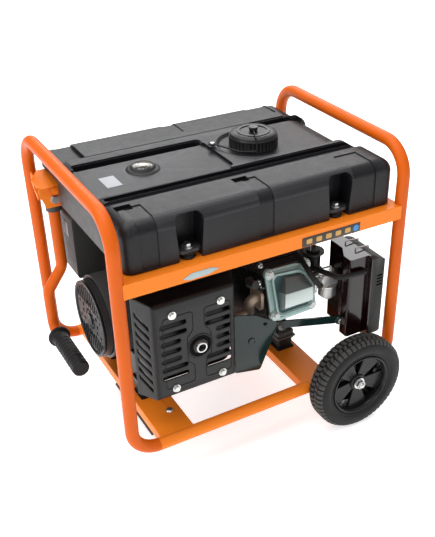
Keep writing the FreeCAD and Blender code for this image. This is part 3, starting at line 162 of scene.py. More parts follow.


# edge= sets each material's painted highlight colour for its sharp convex edges
M = {
    "orange": shader("orange_powder_coat", (0.64, 0.105, 0.002), 0.40, grain=(900, 0.10), mottle=0.05,
                     edge=(0.88, 0.22, 0.015), bevel=0.0012, spec=0.20),
    "tank": shader("tank_plastic", (0.006, 0.006, 0.0075), 0.40, grain=(300, 1.0), mottle=0.15,
                   edge=(0.035, 0.035, 0.038), bevel=0.002, spec=0.30),
    "cap": shader("cap_plastic", (0.005, 0.005, 0.006), 0.34, grain=(1500, 0.2),
                  edge=(0.05, 0.05, 0.05), bevel=0.0008, spec=0.30),
    "black": shader("black_paint", (0.005, 0.005, 0.005), 0.40, grain=(700, 0.15), mottle=0.15,
                    edge=(0.06, 0.06, 0.058), bevel=0.0012, spec=0.30),
    "shield": shader("shield_paint", (0.0045, 0.0042, 0.004), 0.34, grain=(500, 0.18), mottle=0.12,
                     edge=(0.02, 0.02, 0.02), bevel=0.006, spec=0.28),
    "plastic": shader("black_plastic", (0.005, 0.005, 0.0055), 0.42, grain=(1200, 0.25),
                      edge=(0.05, 0.05, 0.05), bevel=0.0008, spec=0.28),
    "gloss": shader("filter_gloss", (0.009, 0.0020, 0.0026), 0.13, grain=(200, 0.03), rough_var=0.03,
                    bevel=0.0012),
    "lid": shader("filter_lid_plastic", (0.007, 0.0065, 0.006), 0.5, grain=(1300, 0.4),
                  edge=(0.06, 0.06, 0.058), bevel=0.0015, spec=0.28),
    "zinc": shader("zinc_plate", (0.62, 0.63, 0.61), 0.30, metal=1.0, grain=(400, 0.1), mottle=0.12,
                   bevel=0.0006),
    "chrome": shader("bright_nut", (0.86, 0.87, 0.88), 0.10, metal=1.0, mottle=0.03, rough_var=0.03),
    "cast": shader("cast_alloy", (0.42, 0.46, 0.44), 0.42, metal=0.75, grain=(260, 0.25), mottle=0.10,
                   edge=(0.75, 0.80, 0.78), bevel=0.0010),
    "alloy": shader("fine_cast_alloy", (0.52, 0.53, 0.51), 0.36, metal=0.85, grain=(350, 0.2), mottle=0.12,
                    edge=(0.75, 0.76, 0.74), bevel=0.0008),
    "steel": shader("dark_steel", (0.28, 0.26, 0.24), 0.40, metal=1.0, grain=(300, 0.2), mottle=0.2),
    "heat": shader("heat_tinted_pipe", (0.42, 0.33, 0.25), 0.45, metal=0.6, grain=(120, 0.3), mottle=0.28),
    "teal": shader("shroud_paint", (0.006, 0.020, 0.018), 0.12, grain=(200, 0.08), mottle=0.3,
                   bevel=0.001, spec=0.4),
    "rubber": shader("rubber", (0.007, 0.007, 0.007), 0.55, grain=(900, 0.3), bevel=0.0008, spec=0.28),
    "tyre": shader("tyre_rubber", (0.007, 0.0068, 0.0068), 0.55, grain=(600, 0.35), mottle=0.12,
                   edge=(0.055, 0.055, 0.053), spec=0.25),
    "rim": shader("rim_plastic", (0.008, 0.008, 0.009), 0.26, grain=(900, 0.25), mottle=0.1,
                  edge=(0.08, 0.08, 0.08), bevel=0.0012, spec=0.28),
    "label": shader("blank_label", (0.40, 0.41, 0.43), 0.7, mottle=0.03, spec=0.2),
    "label_dark": shader("dark_label", (0.020, 0.014, 0.010), 0.35, mottle=0.05),
    "silver_label": shader("silver_label", (0.36, 0.45, 0.45), 0.45, metal=0.3, mottle=0.1),
    "dial": shader("gauge_dial", (0.22, 0.19, 0.12), 0.35, mottle=0.10, spec=0.2),
    "strip_yellow": shader("strip_block_yellow", (0.55, 0.30, 0.06), 0.4, mottle=0.05),
    "strip_blue": shader("strip_block_blue", (0.03, 0.22, 0.55), 0.4, mottle=0.05),
    "glass": shader("gauge_lens", (0.9, 0.9, 0.86), 0.06, mottle=0.02, rough_var=0.01,
                    transmission=1.0, spec=0.15),
    "red": shader("red_rocker", (0.45, 0.02, 0.015), 0.30, mottle=0.05, bevel=0.0006),
    "brass": shader("brass_union", (0.62, 0.44, 0.16), 0.30, metal=1.0, mottle=0.12),
    "windings": shader("lacquered_windings", (0.30, 0.11, 0.03), 0.38, metal=0.3, streak=(4, 900, 900),
                       mottle=0.2),
    "cover": shader("rocker_cover_alloy", (0.36, 0.50, 0.47), 0.36, metal=0.5, grain=(350, 0.2), mottle=0.10,
                    edge=(0.55, 0.62, 0.60), bevel=0.0010),
    "groove": shader("cover_groove_paint", (0.03, 0.075, 0.08), 0.35, grain=(350, 0.2), mottle=0.2),
    "dome": shader("machined_cover_top", (0.42, 0.48, 0.46), 0.33, metal=0.8, grain=(500, 0.15), mottle=0.06,
                   edge=(0.85, 0.86, 0.85), bevel=0.0010),
    # darker copy of the cover-top alloy: painted shade for the top's upward faces
    "dome_painted_shade": shader("cover_top_painted_shade", (0.11, 0.13, 0.125), 0.30, metal=0.4, grain=(500, 0.15),
                        mottle=0.06, bevel=0.0010),
    "dark_cast": shader("dark_cast_cover", (0.010, 0.0095, 0.010), 0.30, metal=0.1, grain=(260, 0.25),
                        mottle=0.15, edge=(0.035, 0.034, 0.035), bevel=0.0010, spec=0.25),
    # near-black patches that stand in for shade inside openings: painted shade
    "painted_shade": shader("shadowed_opening", (0.004, 0.004, 0.004), 0.8, mottle=0.1, spec=0.1),
    "brown": shader("foot_plate_paint", (0.10, 0.085, 0.07), 0.5, grain=(300, 0.2), mottle=0.2, bevel=0.001),
}

FINISH = {
    "orange": "front_sill_tube rear_sill_tube left_end_hoop right_end_hoop front_tank_rail rear_tank_rail "
              "left_cross_member right_cross_member handle_bracket handle_tube",
    "tank": "fuel_tank", "cap": "fuel_cap",
    "black": "recoil_housing alternator_housing crankcase support_leg control_box cylinder_head cylinder",
    "shield": "muffler_shield",
    "plastic": "fuel_tap fuel_tap_lever choke_lever governor_pot oil_dipstick recoil_handle control_panel "
               "breaker_button socket_lid_left socket_lid_right handle_collar spark_plug fuel_gauge",
    "red": "engine_switch", "rim": "front_rim rear_rim", "gloss": "air_filter_base", "lid": "air_filter_lid",
    "zinc": "tank_bolts engine_screws frame_bolts filter_brackets front_axle rear_axle",
    "cast": "flywheel", "cover": "valve_cover", "dark_cast": "alternator_end_cover", "alloy": "carburettor",
    "steel": "crankshaft", "heat": "muffler", "teal": "lower_shroud",
    "rubber": "handle_grip isolation_mounts tank_bushes leg_feet fuel_hose breather_hose cap_tether",
    "tyre": "front_tyre rear_tyre",
}


def paint(obj, key):
    """One material, in place of whatever the object had."""
    obj.data.materials.clear()
    obj.data.materials.append(M[key])


def finish_nodes():
    """Material, smooth faces and crisp edges for every CAD node."""
    for key, names in FINISH.items():
        for name in names.split():
            node = NODES[name]
            paint(node, key)
            for face in node.data.polygons:
                face.use_smooth = True
            weld = node.modifiers.new("weld", "WELD")
            weld.merge_threshold = SAME_POINT
            split = node.modifiers.new("edges", "EDGE_SPLIT")
            split.split_angle = CAD_EDGE_ANGLE


def second_finish(name, key, where):
    """Gives another finish to the faces of a CAD node whose centre passes a test."""
    mesh = NODES[name].data
    mesh.materials.append(M[key])
    for face in mesh.polygons:
        if where(face.center):
            face.material_index = 1


finish_nodes()


# --------------------------------------------------------------- mesh helpers
def piece(name, verts, faces, key, body="frame", smooth=35, bevel=0.0, replaces=()):
    """Mesh object that rides a body and the CAD nodes that it stands in for."""
    me = bpy.data.meshes.new(name)
    me.from_pydata([tuple(v) for v in verts], [], faces)
    bm = bmesh.new()
    bm.from_mesh(me)
    bmesh.ops.remove_doubles(bm, verts=bm.verts, dist=SAME_POINT)
    bmesh.ops.recalc_face_normals(bm, faces=bm.faces)
    bm.to_mesh(me)
    bm.free()
    o = bpy.data.objects.new(name, me)
    bpy.context.scene.collection.objects.link(o)
    for p in me.polygons:
        p.use_smooth = True
    if bevel:
        b = o.modifiers.new("bevel", "BEVEL")
        b.width, b.segments, b.limit_method, b.angle_limit = bevel * MM, 3, "ANGLE", BEVEL_ANGLE
    s = o.modifiers.new("edges", "EDGE_SPLIT")
    s.split_angle = math.radians(smooth)
    paint(o, key)
    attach(o, body)
    if replaces:
        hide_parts(*replaces)
    return o


BOX_FACES = [(0, 1, 3, 2), (4, 6, 7, 5), (0, 4, 5, 1), (2, 3, 7, 6), (0, 2, 6, 4), (1, 5, 7, 3)]


class Build:
    """Collects primitive solids, in layout millimetres, for one piece."""

    def __init__(self):
        self.v, self.f = [], []

    def add(self, verts, faces, local=None):
        k = len(self.v)
        for v in verts:
            v = Vector(v)
            if local is not None:
                v = local @ v
            self.v.append(P(*v))
        self.f += [tuple(i + k for i in f) for f in faces]
        return self

    def box(self, x0, x1, y0, y1, z0, z1, local=None):
        vs = [(x, y, z) for x in (x0, x1) for y in (y0, y1) for z in (z0, z1)]
        return self.add(vs, BOX_FACES, local)

    def lathe(self, profile, centre, axis, n=48, local=None, closed=True, a0=0.0, a1=360.0):
        """Turn (radius, along) pairs about an axis through centre."""
        full = abs(a1 - a0) >= 359.9
        m = len(profile)
        steps = n if full else n + 1
        vs = []
        for i in range(steps):
            a = math.radians(a0 + (a1 - a0) * i / n)
            c, s = math.cos(a), math.sin(a)
            for r, t in profile:
                u = {"x": (t, r * c, r * s), "y": (r * s, t, r * c), "z": (r * c, r * s, t)}[axis]
                vs.append(Vector(u) + Vector(centre))
        fs = []
        for i in range(n):
            j = (i + 1) % steps
            for k in range(m if closed else m - 1):
                q = (k + 1) % m
                fs.append((i * m + k, i * m + q, j * m + q, j * m + k))
        if not full and closed:
            fs += [tuple(range(m)), tuple(range((steps - 1) * m, steps * m))[::-1]]
        return self.add(vs, fs, local)

    def rod(self, points, r, n=12, local=None):
        """Round bar through the points, with flat ends."""
        pts = [Vector(p) for p in points]
        vs, prev = [], None
        for i, p in enumerate(pts):
            d = (pts[min(i + 1, len(pts) - 1)] - pts[max(i - 1, 0)]).normalized()
            if prev is None:
                up = Vector((0, 0, 1)) if abs(d.z) < 0.9 else Vector((1, 0, 0))
                u = d.cross(up).normalized()
            else:
                u = (prev - d * prev.dot(d)).normalized()
            prev = u
            w = d.cross(u)
            turns = [2 * math.pi * k / n for k in range(n)]
            vs += [p + (u * math.cos(a) + w * math.sin(a)) * r for a in turns]
        fs = []
        for i in range(len(pts) - 1):
            for k in range(n):
                q = (k + 1) % n
                fs.append((i * n + k, i * n + q, (i + 1) * n + q, (i + 1) * n + k))
        fs += [tuple(range(n))[::-1], tuple(range((len(pts) - 1) * n, len(pts) * n))]
        return self.add(vs, fs, local)

    def hexa(self, centre, flat, h, axis, local=None):
        """Hexagon head with a chamfered top, flat across flats and h high."""
        r = flat / math.sqrt(3)
        prof = [(0, 0), (r, 0), (r, h * 0.82), (r * 0.86, h), (0, h)]
        return self.lathe(prof, centre, axis, n=6, local=local, closed=False)

    def prism(self, outline, y0, y1, axis="y", local=None):
        """Outline (a, b) pushed along the axis: y gives (x, z), x gives (y, z), z gives (x, y)."""
        n = len(outline)
        vs = []
        for t in (y0, y1):
            for a, b in outline:
                vs.append({"y": (a, t, b), "x": (t, a, b), "z": (a, b, t)}[axis])
        fs = [(i, (i + 1) % n, n + (i + 1) % n, n + i) for i in range(n)]
        fs += [tuple(range(n))[::-1], tuple(range(n, 2 * n))]
        return self.add(vs, fs, local)

    def make(self, name, key, body="frame", **kw):
        return piece(name, self.v, self.f, key, body, **kw)


def smooth_line(points, per=8):
    """Catmull-Rom samples through the points."""
    pts = [Vector(p) for p in points]
    ext = [pts[0] * 2 - pts[1]] + pts + [pts[-1] * 2 - pts[-2]]
    out = []
    for i in range(1, len(ext) - 2):
        a, b, c, d = ext[i - 1], ext[i], ext[i + 1], ext[i + 2]
        for k in range(per):
            t = k / per
            out.append(0.5 * ((2 * b) + (c - a) * t + (2 * a - 5 * b + 4 * c - d) * t * t
                              + (3 * b - a - 3 * c + d) * t ** 3))
    return out + [pts[-1]]


# zinc wire clips above, dark painted stay below
second_finish("filter_brackets", "black", lambda centre: centre.z < STAY_BELOW)

# The cylinder line leans up towards the muffler side; its local z runs out from the crank.
CYL = Matrix.Translation(Vector((86.0, 15.0, 180.0))) @ Matrix.Rotation(math.radians(90 - 16.5), 4, "X")

# --------------------------------------------------------------------- wheels
WX, WZ = 206.0, 9.5                     # wheel axis in the layout
WR, RIM = 116.5, 76.0                   # tyre and rim radius
W_IN, W_OUT = 262.0, 316.0              # inner and outer side of the tyre
TREAD_BLOCKS = 54
SPOKES = 5
RIM_TURN = 34.0                         # degrees, first spoke from straight up
AXLE = (WX, 0, WZ)


def wheel_turn(deg):
    """Turn about the wheel axis, for a shape drawn above it."""
    return Matrix.Translation(Vector(AXLE)) @ Matrix.Rotation(math.radians(deg), 4, "Y")


def tread_block(build, side, turn, lo, hi, slant):
    """Block of the middle rows, from lo to hi across the tyre, narrower at the top."""
    vs = []
    for r, w in ((WR - 3.2, 4.3), (WR - 0.1, 3.7)):
        for across, lean in ((lo, -slant), (hi, slant)):
            for q in (-1, 1):
                vs.append((q * w + lean, side * across, r))
    build.add(vs, BOX_FACES, turn)


def shoulder_block(build, side, turn, edge, sgn):
    """Block that wraps from the tread down on a side wall."""
    prof = [(WR - 0.4, 13.4), (WR - 0.9, 10), (WR - 2.9, 6.4), (WR - 5.2, 4.0), (WR - 8.2, 2.5)]
    base = [(WR - 3.6, 13.4), (WR - 4.2, 10.5), (WR - 5.6, 8.0), (WR - 7.6, 5.6), (WR - 9.2, 3.6)]
    vs = [(w, side * (edge - sgn * d), r) for w in (-4.6, 4.6) for r, d in prof + base]
    m = len(prof)
    fs = []
    for b0 in (0, 2 * m):
        for j in range(m - 1):
            fs.append((b0 + j, b0 + j + 1, b0 + m + j + 1, b0 + m + j))
    for j in range(m - 1):
        fs.append((j, j + 1, 2 * m + j + 1, 2 * m + j))
    fs.append((0, 2 * m, 3 * m, m))
    fs.append((m - 1, 3 * m - 1, 4 * m - 1, 2 * m - 1))
    build.add(vs, fs, turn)


def tyre(side, body, tag):
    """Carcass with two staggered rows of middle blocks and a row on each shoulder."""
    t = Build()
    section = [(RIM, W_OUT - 6), (RIM + 2, W_OUT - 3.2), (RIM + 5, W_OUT - 1.6), (RIM + 8, W_OUT - 2.4),
               (RIM + 10, W_OUT - 1.0), (RIM + 16, W_OUT), (WR - 16, W_OUT - 0.4), (WR - 12.6, W_OUT - 1.8),
               (WR - 8.5, W_OUT - 3.0), (WR - 5.6, W_OUT - 6.0), (WR - 3.4, W_OUT - 10.5),
               (WR - 2.9, W_OUT - 18), (WR - 2.9, W_IN + 18), (WR - 3.4, W_IN + 10.5),
               (WR - 5.6, W_IN + 6), (WR - 8.5, W_IN + 3.0), (WR - 14, W_IN + 0.6), (RIM + 12, W_IN),
               (RIM + 3, W_IN + 3), (RIM, W_IN + 6)]
    t.lathe([(r, side * a) for r, a in section], AXLE, "y", n=96)
    pitch = 360.0 / TREAD_BLOCKS
    for i in range(TREAD_BLOCKS):
        straight, staggered = wheel_turn(pitch * i), wheel_turn(pitch * i + 0.5 * pitch)
        tread_block(t, side, straight, W_IN + 28.4, W_OUT - 15, -1.6)
        tread_block(t, side, staggered, W_IN + 15, W_IN + 25.6, 1.6)
        shoulder_block(t, side, straight, W_OUT, 1)
        shoulder_block(t, side, staggered, W_IN, -1)
    t.make(tag + "_tyre_tread", "tyre", body, smooth=32, replaces=(tag + "_tyre",))


def spoke(build, side, turn):
    """Flat spoke, 6 mm thick, that takes a larger share of the turn at the hub than at the rim."""
    steps, at_hub, at_rim = 10, 0.86, 0.60
    r_in, r_out = 19.5, RIM - 8.7
    angles = [(-0.5 + j / steps) * math.radians(360 / SPOKES) for j in range(steps + 1)]
    inner = [(r_in * math.sin(a * at_hub), r_in * math.cos(a * at_hub)) for a in angles]
    outer = [(r_out * math.sin(a * at_rim), r_out * math.cos(a * at_rim)) for a in angles]
    vs, fs = [], []
    for y_in, y_out in ((297.0, 299.5), (291.0, 293.5)):
        vs += [(x, side * y_in, z) for x, z in inner] + [(x, side * y_out, z) for x, z in outer]
    m = steps + 1
    for j in range(steps):
        fs.append((j, j + 1, m + j + 1, m + j))
        fs.append((2 * m + j, 3 * m + j, 3 * m + j + 1, 2 * m + j + 1))
    fs.append((0, m, 3 * m, 2 * m))
    fs.append((m - 1, 3 * m - 1, 4 * m - 1, 2 * m - 1))
    build.add(vs, fs, turn)


def rim(side, body, tag):
    """Barrel with a rolled lip, hub, spokes, and a web inside each window; behind them a dark disc of painted
    shade.
    """
    r = Build()
    lip = [(RIM, W_OUT - 4), (RIM - 1.2, W_OUT - 1.5), (RIM - 3.5, W_OUT - 1.6), (RIM - 6.0, W_OUT - 4.5),
           (RIM - 8.5, W_OUT - 10), (RIM - 9.5, W_OUT - 22), (RIM - 6.5, W_IN + 10), (RIM - 4, W_IN + 4),
           (RIM, W_IN + 4), (RIM, W_OUT - 30)]
    r.lathe([(a, side * b) for a, b in lip], AXLE, "y", n=96)
    hub = [(7.3, 300.5), (15.5, 301.6), (19.5, 300.2), (20.5, 296), (20.5, 268), (7.3, 268)]
    r.lathe([(a, side * b) for a, b in hub], AXLE, "y", n=48)
    sector = 360 / SPOKES
    for i in range(SPOKES):
        spoke(r, side, wheel_turn(sector * i + RIM_TURN))
        web = sorted((side * 272, side * 288))
        r.box(-1.4, 1.4, web[0], web[1], 20, RIM - 8, wheel_turn(sector * i + sector / 2 + RIM_TURN))
    r.make(tag + "_rim_detail", "rim", body, smooth=30, bevel=0.9, replaces=(tag + "_rim",))
    # dark disc behind the spokes: painted shade seen through the windows
    back = Build()
    ring = [(21, 274), (RIM - 9.6, 274), (RIM - 9.6, 271), (21, 271)]
    back.lathe([(a, side * b) for a, b in ring], AXLE, "y", n=48)
    back.make(tag + "_rim_painted_shade_disc", "painted_shade", body)


# Profiles are drawn for a wheel on the +y side; side -1 mirrors them for the front wheel.
for side, tag in ((-1, "front"), (1, "rear")):
    tyre(side, tag + "_wheel", tag)
    rim(side, tag + "_wheel", tag)


# --------------------------------------------------------- rocker cover, engine
def rounded_outline(points, r, n=5):
    """Corner-rounded copy of a flat outline."""
    out = []
    m = len(points)
    for i, p in enumerate(points):
        p, a, b = Vector(p), Vector(points[i - 1]), Vector(points[(i + 1) % m])
        d = min(r, (a - p).length * 0.45, (b - p).length * 0.45)
        s, e = p + (a - p).normalized() * d, p + (b - p).normalized() * d
        for k in range(n + 1):
            t = k / n
            out.append(tuple((1 - t) ** 2 * s + 2 * t * (1 - t) * p + t * t * e))
    return out


def rectangle(a, b, half_a, half_b):
    """Outline about a centre, counter-clockwise."""
    a0, a1, b0, b1 = a - half_a, a + half_a, b - half_b, b + half_b
    return [(a0, b0), (a1, b0), (a1, b1), (a0, b1)]


def inset(points, d, c=(2.0, -4.0)):
    """Outline drawn in towards a centre."""
    out = []
    for x, y in points:
        v = Vector((x - c[0], y - c[1]))
        v *= max(0.05, 1 - d / v.length)
        out.append((v.x + c[0], v.y + c[1]))
    return out


def band(build, outer, inner, z0, z1, local):
    """Raised rim between two matching outlines."""
    n = len(outer)
    vs = [(x, y, z0) for x, y in outer] + [(x, y, z1) for x, y in outer]
    vs += [(x, y, z1) for x, y in inner] + [(x, y, z0) for x, y in inner]
    fs = []
    for i in range(n):
        j = (i + 1) % n
        for k in range(4):
            q = (k + 1) % 4
            fs.append((k * n + i, k * n + j, q * n + j, q * n + i))
    build.add(vs, fs, local)


RIM_LINE = rounded_outline([(-57, -40), (-57, 44), (-46, 57), (26, 55), (44, 46), (60, 12), (61, -44),
                            (50, -60), (-40, -62), (-54, -54)], 12)


def rocker_cover():
    """Flange with four bosses, rims, painted groove and sloped top, whose upward faces take a darker copy of
    the alloy as painted shade. Replaces valve_cover.
    """
    cov = Build()
    cov.prism(RIM_LINE, 208, 213.4, "z", CYL)
    for i in (-1, 1):
        for j in (-1, 1):
            cov.lathe([(0, 206), (12.3, 206), (12.3, 215.6), (11.2, 216.8), (0, 216.8)],
                      (47 * i, 47 * j, 0), "z", n=32, local=CYL, closed=False)
    band(cov, inset(RIM_LINE, 7), inset(RIM_LINE, 9.5), 213, 215.6, CYL)
    band(cov, inset(RIM_LINE, 13), inset(RIM_LINE, 17), 213, 222, CYL)
    band(cov, inset(RIM_LINE, 17.5), inset(RIM_LINE, 20), 213, 220, CYL)
    cov.make("rocker_cover_flange", "cover", bevel=0.7, replaces=("valve_cover",))
    grv = Build()
    grv.prism(inset(RIM_LINE, 19.5), 212, 217, "z", CYL)
    grv.make("rocker_cover_groove", "groove")
    dm = Build()
    low = [(-36, -38), (44, -38), (46, -8), (36, 32), (-17, 38), (-31, 4)]
    top = [(-32, -31, 236.5), (41, -31, 236.5), (43, 1, 240), (33, 27, 224), (-15, 33, 224), (-28, 2, 240)]
    dm.add([(x, y, 214) for x, y in low] + top,
           [(i, (i + 1) % 6, 6 + (i + 1) % 6, 6 + i) for i in range(6)]
           + [(5, 4, 3, 2, 1, 0), (6, 7, 8, 11), (11, 8, 9, 10)], CYL)
    dome = dm.make("rocker_cover_dome", "dome", smooth=20, bevel=1.6)
    # upward faces of the top take the darker copy: painted shade
    dome.data.materials.append(M["dome_painted_shade"])
    for p in dome.data.polygons:
        c = p.center
        n = p.normal
        if n.z > 0.62 or (n.z > 0.25 and c.z > 0.352):
            p.material_index = 1


def lower_shroud_panel():
    """Painted panel below the rocker cover, with its fixings."""
    sh = Build()
    line = rounded_outline([(-64, 230), (-12, 214), (48, 175), (0, 64), (-64, 77)], 5, 3)
    sh.prism(line, -204.5, -201.5, "y")
    sh.prism([(44, 174), (50, 175), (3, 66), (-3, 66)], -203, -180, "y")
    sh.prism([(-46, 72), (-1, 63), (-1, 66), (-46, 75)], -203, -175, "y")
    sh.make("lower_shroud_panel", "teal", bevel=1.2, replaces=("lower_shroud",))
    boss = Build()
    boss.lathe([(0, -204), (9, -204), (8, -207), (0, -207.5)], (-22, 0, 150), "y", n=28, closed=False)
    boss.lathe([(0, -204), (4, -204), (4, -209), (3, -210), (0, -210)], (14, 0, 182), "y", n=20, closed=False)
    boss.make("lower_shroud_fixings", "teal", bevel=0.5)


def shield_details():
    """Embossed outlines on the heat shield and the round outlet, with painted shade inside the outlet and
    around its ring.
    """
    em = Build()
    for cx0, cx1, gap in ((-238, -172, 1), (-146, -86, -1)):
        g = 14
        xs = [(cx0, 292), (cx1, 292), (cx1, 246), (cx1 - g, 234), (cx1 - g, 172), (cx1, 160), (cx1, 118),
              (cx0, 118)]
        if gap < 0:
            xs = [(cx1, 292), (cx0, 292), (cx0, 246), (cx0 + g, 234), (cx0 + g, 172), (cx0, 160), (cx0, 118),
                  (cx1, 118)]
        ring_pts = [(x, -228.2, z) for x, z in rounded_outline(xs, 8, 4)]
        em.rod(ring_pts + ring_pts[:1], 0.9, 8)
    em.lathe([(24, -227.5), (25.5, -229.2), (29, -229.2), (30.5, -227.5)], OUTLET, "y", n=56)
    em.make("shield_embossed_lines", "shield")
    out_ring = Build()
    out_ring.lathe([(8.8, -238), (8.8, -212), (12.6, -212), (12.6, -236.5), (11.4, -238.4)],
                   OUTLET, "y", n=48)
    out_ring.make("exhaust_outlet_ring", "zinc", bevel=0.4)
    # dark disc in the pipe and dark ring round the outlet: painted shade
    outlet_shade = Build()
    outlet_shade.lathe([(0, -214.5), (8.7, -214.5), (8.7, -212.5), (0, -212.5)], OUTLET, "y", n=32, closed=False)
    outlet_shade.lathe([(13.2, -226.6), (23.5, -226.9), (23.5, -225), (13.2, -225)], OUTLET, "y", n=48)
    outlet_shade.make("exhaust_outlet_painted_shade", "painted_shade")


def labels_and_plates():
    """Blank labels, a blank plate and a strip of plain blocks. None carries lettering."""
    lab = Build()
    lab.box(-258, -226, -52, 0, 510.0, 510.5)
    lab.box(-290.6, -290.0, 150, 180, 318, 352)
    lab.make("blank_paper_labels", "label", bevel=0.15)
    strip = Build()
    strip.prism([(67, 383), (67, 404), (212, 404), (212, 383)], -258.9, -258.0, "y")
    strip.make("blank_rail_strip", "label_dark", bevel=0.3)
    blocks = Build()
    for i in range(5):
        x = 84 + 24 * i
        blocks.prism(rounded_outline(rectangle(x, 393.5, 7, 5.5), 3, 3), -259.3, -258.5, "y")
    blocks.make("rail_strip_blocks", "strip_yellow")
    blue = Build()
    blue.lathe([(0, -259.3), (7, -259.3), (7, -258.5), (0, -258.5)], (201, 0, 393.5), "y", n=28, closed=False)
    blue.make("rail_strip_dot", "strip_blue")
    plate = Build()
    plate.prism([(-203, 390), (-184, 399), (-140, 399), (-124, 393), (-148, 386), (-186, 385)],
                -258.9, -258.0, "y")
    plate.make("blank_rail_plate", "silver_label", bevel=0.3)


def fuel_gauge():
    """Bezel, dial and lens on the tank top."""
    bez = Build()
    bez.lathe([(20.6, 515), (21.4, 518.6), (23.2, 519.2), (25.4, 517.6), (26.8, 514.2), (24, 513.5)],
              GAUGE_AXIS, "z", n=56)
    bez.make("gauge_bezel", "plastic")
    dial = Build()
    dial.lathe([(0, 516.4), (20.8, 516.4), (20.8, 517.4), (0, 517.4)], GAUGE_AXIS, "z", n=48, closed=False)
    dial.lathe([(9.0, 517.2), (9.0, 518.0), (10.4, 518.0), (10.4, 517.2)], GAUGE_AXIS, "z", n=40)
    dial.make("gauge_dial_face", "dial")
    lens = Build()
    lens.lathe([(0, 521.5), (8, 521.2), (15, 520.2), (20.9, 518.4), (20.9, 517.5), (0, 517.5)],
               GAUGE_AXIS, "z", n=48, closed=False)
    lens.make("gauge_lens", "glass")


def filler_cap_steps():
    """Three curved steps on the cap, kept below the tether."""
    capd = Build()
    for a in (20, 140, 260):
        capd.lathe([(37, 540.5), (37, 542.1), (38.5, 542.7), (43, 542.5), (45, 540.5)], CAP_AXIS, "z",
                   n=14, a0=a, a1=a + 82)
    capd.make("filler_cap_steps", "cap", "cap", bevel=0.5)


def hoses_rods_and_ribs():
    """Fuel hose with its union, carburettor rods and the ribs of the grip."""
    hose = Build()
    route = [(118, -110, 312), (124, -140, 304), (126, -172, 293), (124, -198, 284), (128, -212, 271),
             (138, -215, 256), (150, -210, 242)]
    hose.rod(smooth_line(route), 6.4, 16)
    hose.make("diagonal_fuel_hose", "rubber")
    fit_ = Build()
    fit_.rod([(149, -210.5, 243), (160, -203, 234)], 5.2, 12)
    fit_.rod([(151, -209, 241), (155, -206.5, 238)], 7.2, 6)
    fit_.make("hose_brass_fitting", "brass")
    rods = Build()
    for dx, dy in ((-12, -6), (10, 8)):
        rods.rod([(170 + dx, -151 + dy, 297), (170 + dx, -151 + dy, 372)], 1.8, 10)
    rods.rod([(126, -170, 252), (160, -178, 262), (196, -180, 262)], 2.0, 8)
    rods.rod([(196, -184, 262), (196, -184, 240), (206, -190, 238)], 1.6, 8)
    rods.make("control_rods", "steel")
    ribs = Build()
    for i in range(9):
        ribs.lathe([(18.2, -6 + 13 * i), (20.0, -4.4 + 13 * i), (20.0, -2.2 + 13 * i), (18.2, -0.6 + 13 * i)],
                   (-350, 0, 76), "y", n=40)
    ribs.make("grip_ribs", "rubber", "handle")


def exhaust_and_leg():
    """Silencer finish, exhaust nuts and the low bar of the support leg."""
    # the silencer's body is dark, and only its pipe keeps the heat tint
    second_finish("muffler", "black", lambda centre: centre.x < PIPE_FROM)
    nuts = Build()
    for x, y, z in ((18, -160, 266), (39, -160, 189), (29, -150, 300), (30, -158, 250)):
        nuts.hexa((x, y, z), 12, -8, "y")
        nuts.lathe([(0, -6), (3.4, -6), (3.4, -13), (0, -13.6)], (x, y, z), "y", n=16, closed=False)
    nuts.make("exhaust_flange_nuts", "zinc", bevel=0.4)
    legbar = Build()
    legbar.rod([(-236, 96, -86), (-236, -118, -86)], 4.5, 10)
    legbar.make("support_leg_low_bar", "black")


def stay_and_mounts():
    """Stay under the air filter, and rubber blocks under the engine and alternator."""
    stb = Build()
    stb.prism([(84, -165.2), (206, -214.2), (209, -219), (82, -169)], 127, 146, "z")
    stb.lathe([(11, 1), (11, -5), (9.5, -6.5), (0, -6.5)], STAY_BOLT, "y", n=32, closed=False)
    stb.make("filter_stay_bar", "teal")
    stn = Build()
    stn.lathe([(0, -6), (6.2, -6), (6.2, -10.2), (5.2, -11.4), (0, -11.4)], STAY_BOLT, "y", n=6, closed=False)
    stn.make("filter_stay_bolt", "zinc")
    iso, isp = Build(), Build()
    tiers = ((22, MOUNT_FOOT, MOUNT_FOOT + 5), (18.5, MOUNT_FOOT + 4.5, MOUNT_HEAD - 7.5),
             (21.5, MOUNT_HEAD - 8, MOUNT_HEAD - 3))
    for fx in MOUNT_XS:
        for fy in MOUNT_YS:
            for half, z0, z1 in tiers:
                iso.prism(rounded_outline(rectangle(fx, fy, half, half), 4, 3), z0, z1, "z")
            top = rounded_outline(rectangle(fx, fy, 25, 24), 3, 3)
            isp.prism(top, MOUNT_HEAD - 3.1, MOUNT_HEAD - 0.2, "z")
    iso.make("isolation_blocks", "rubber", replaces=("isolation_mounts",))
    isp.make("isolation_top_plates", "brown")


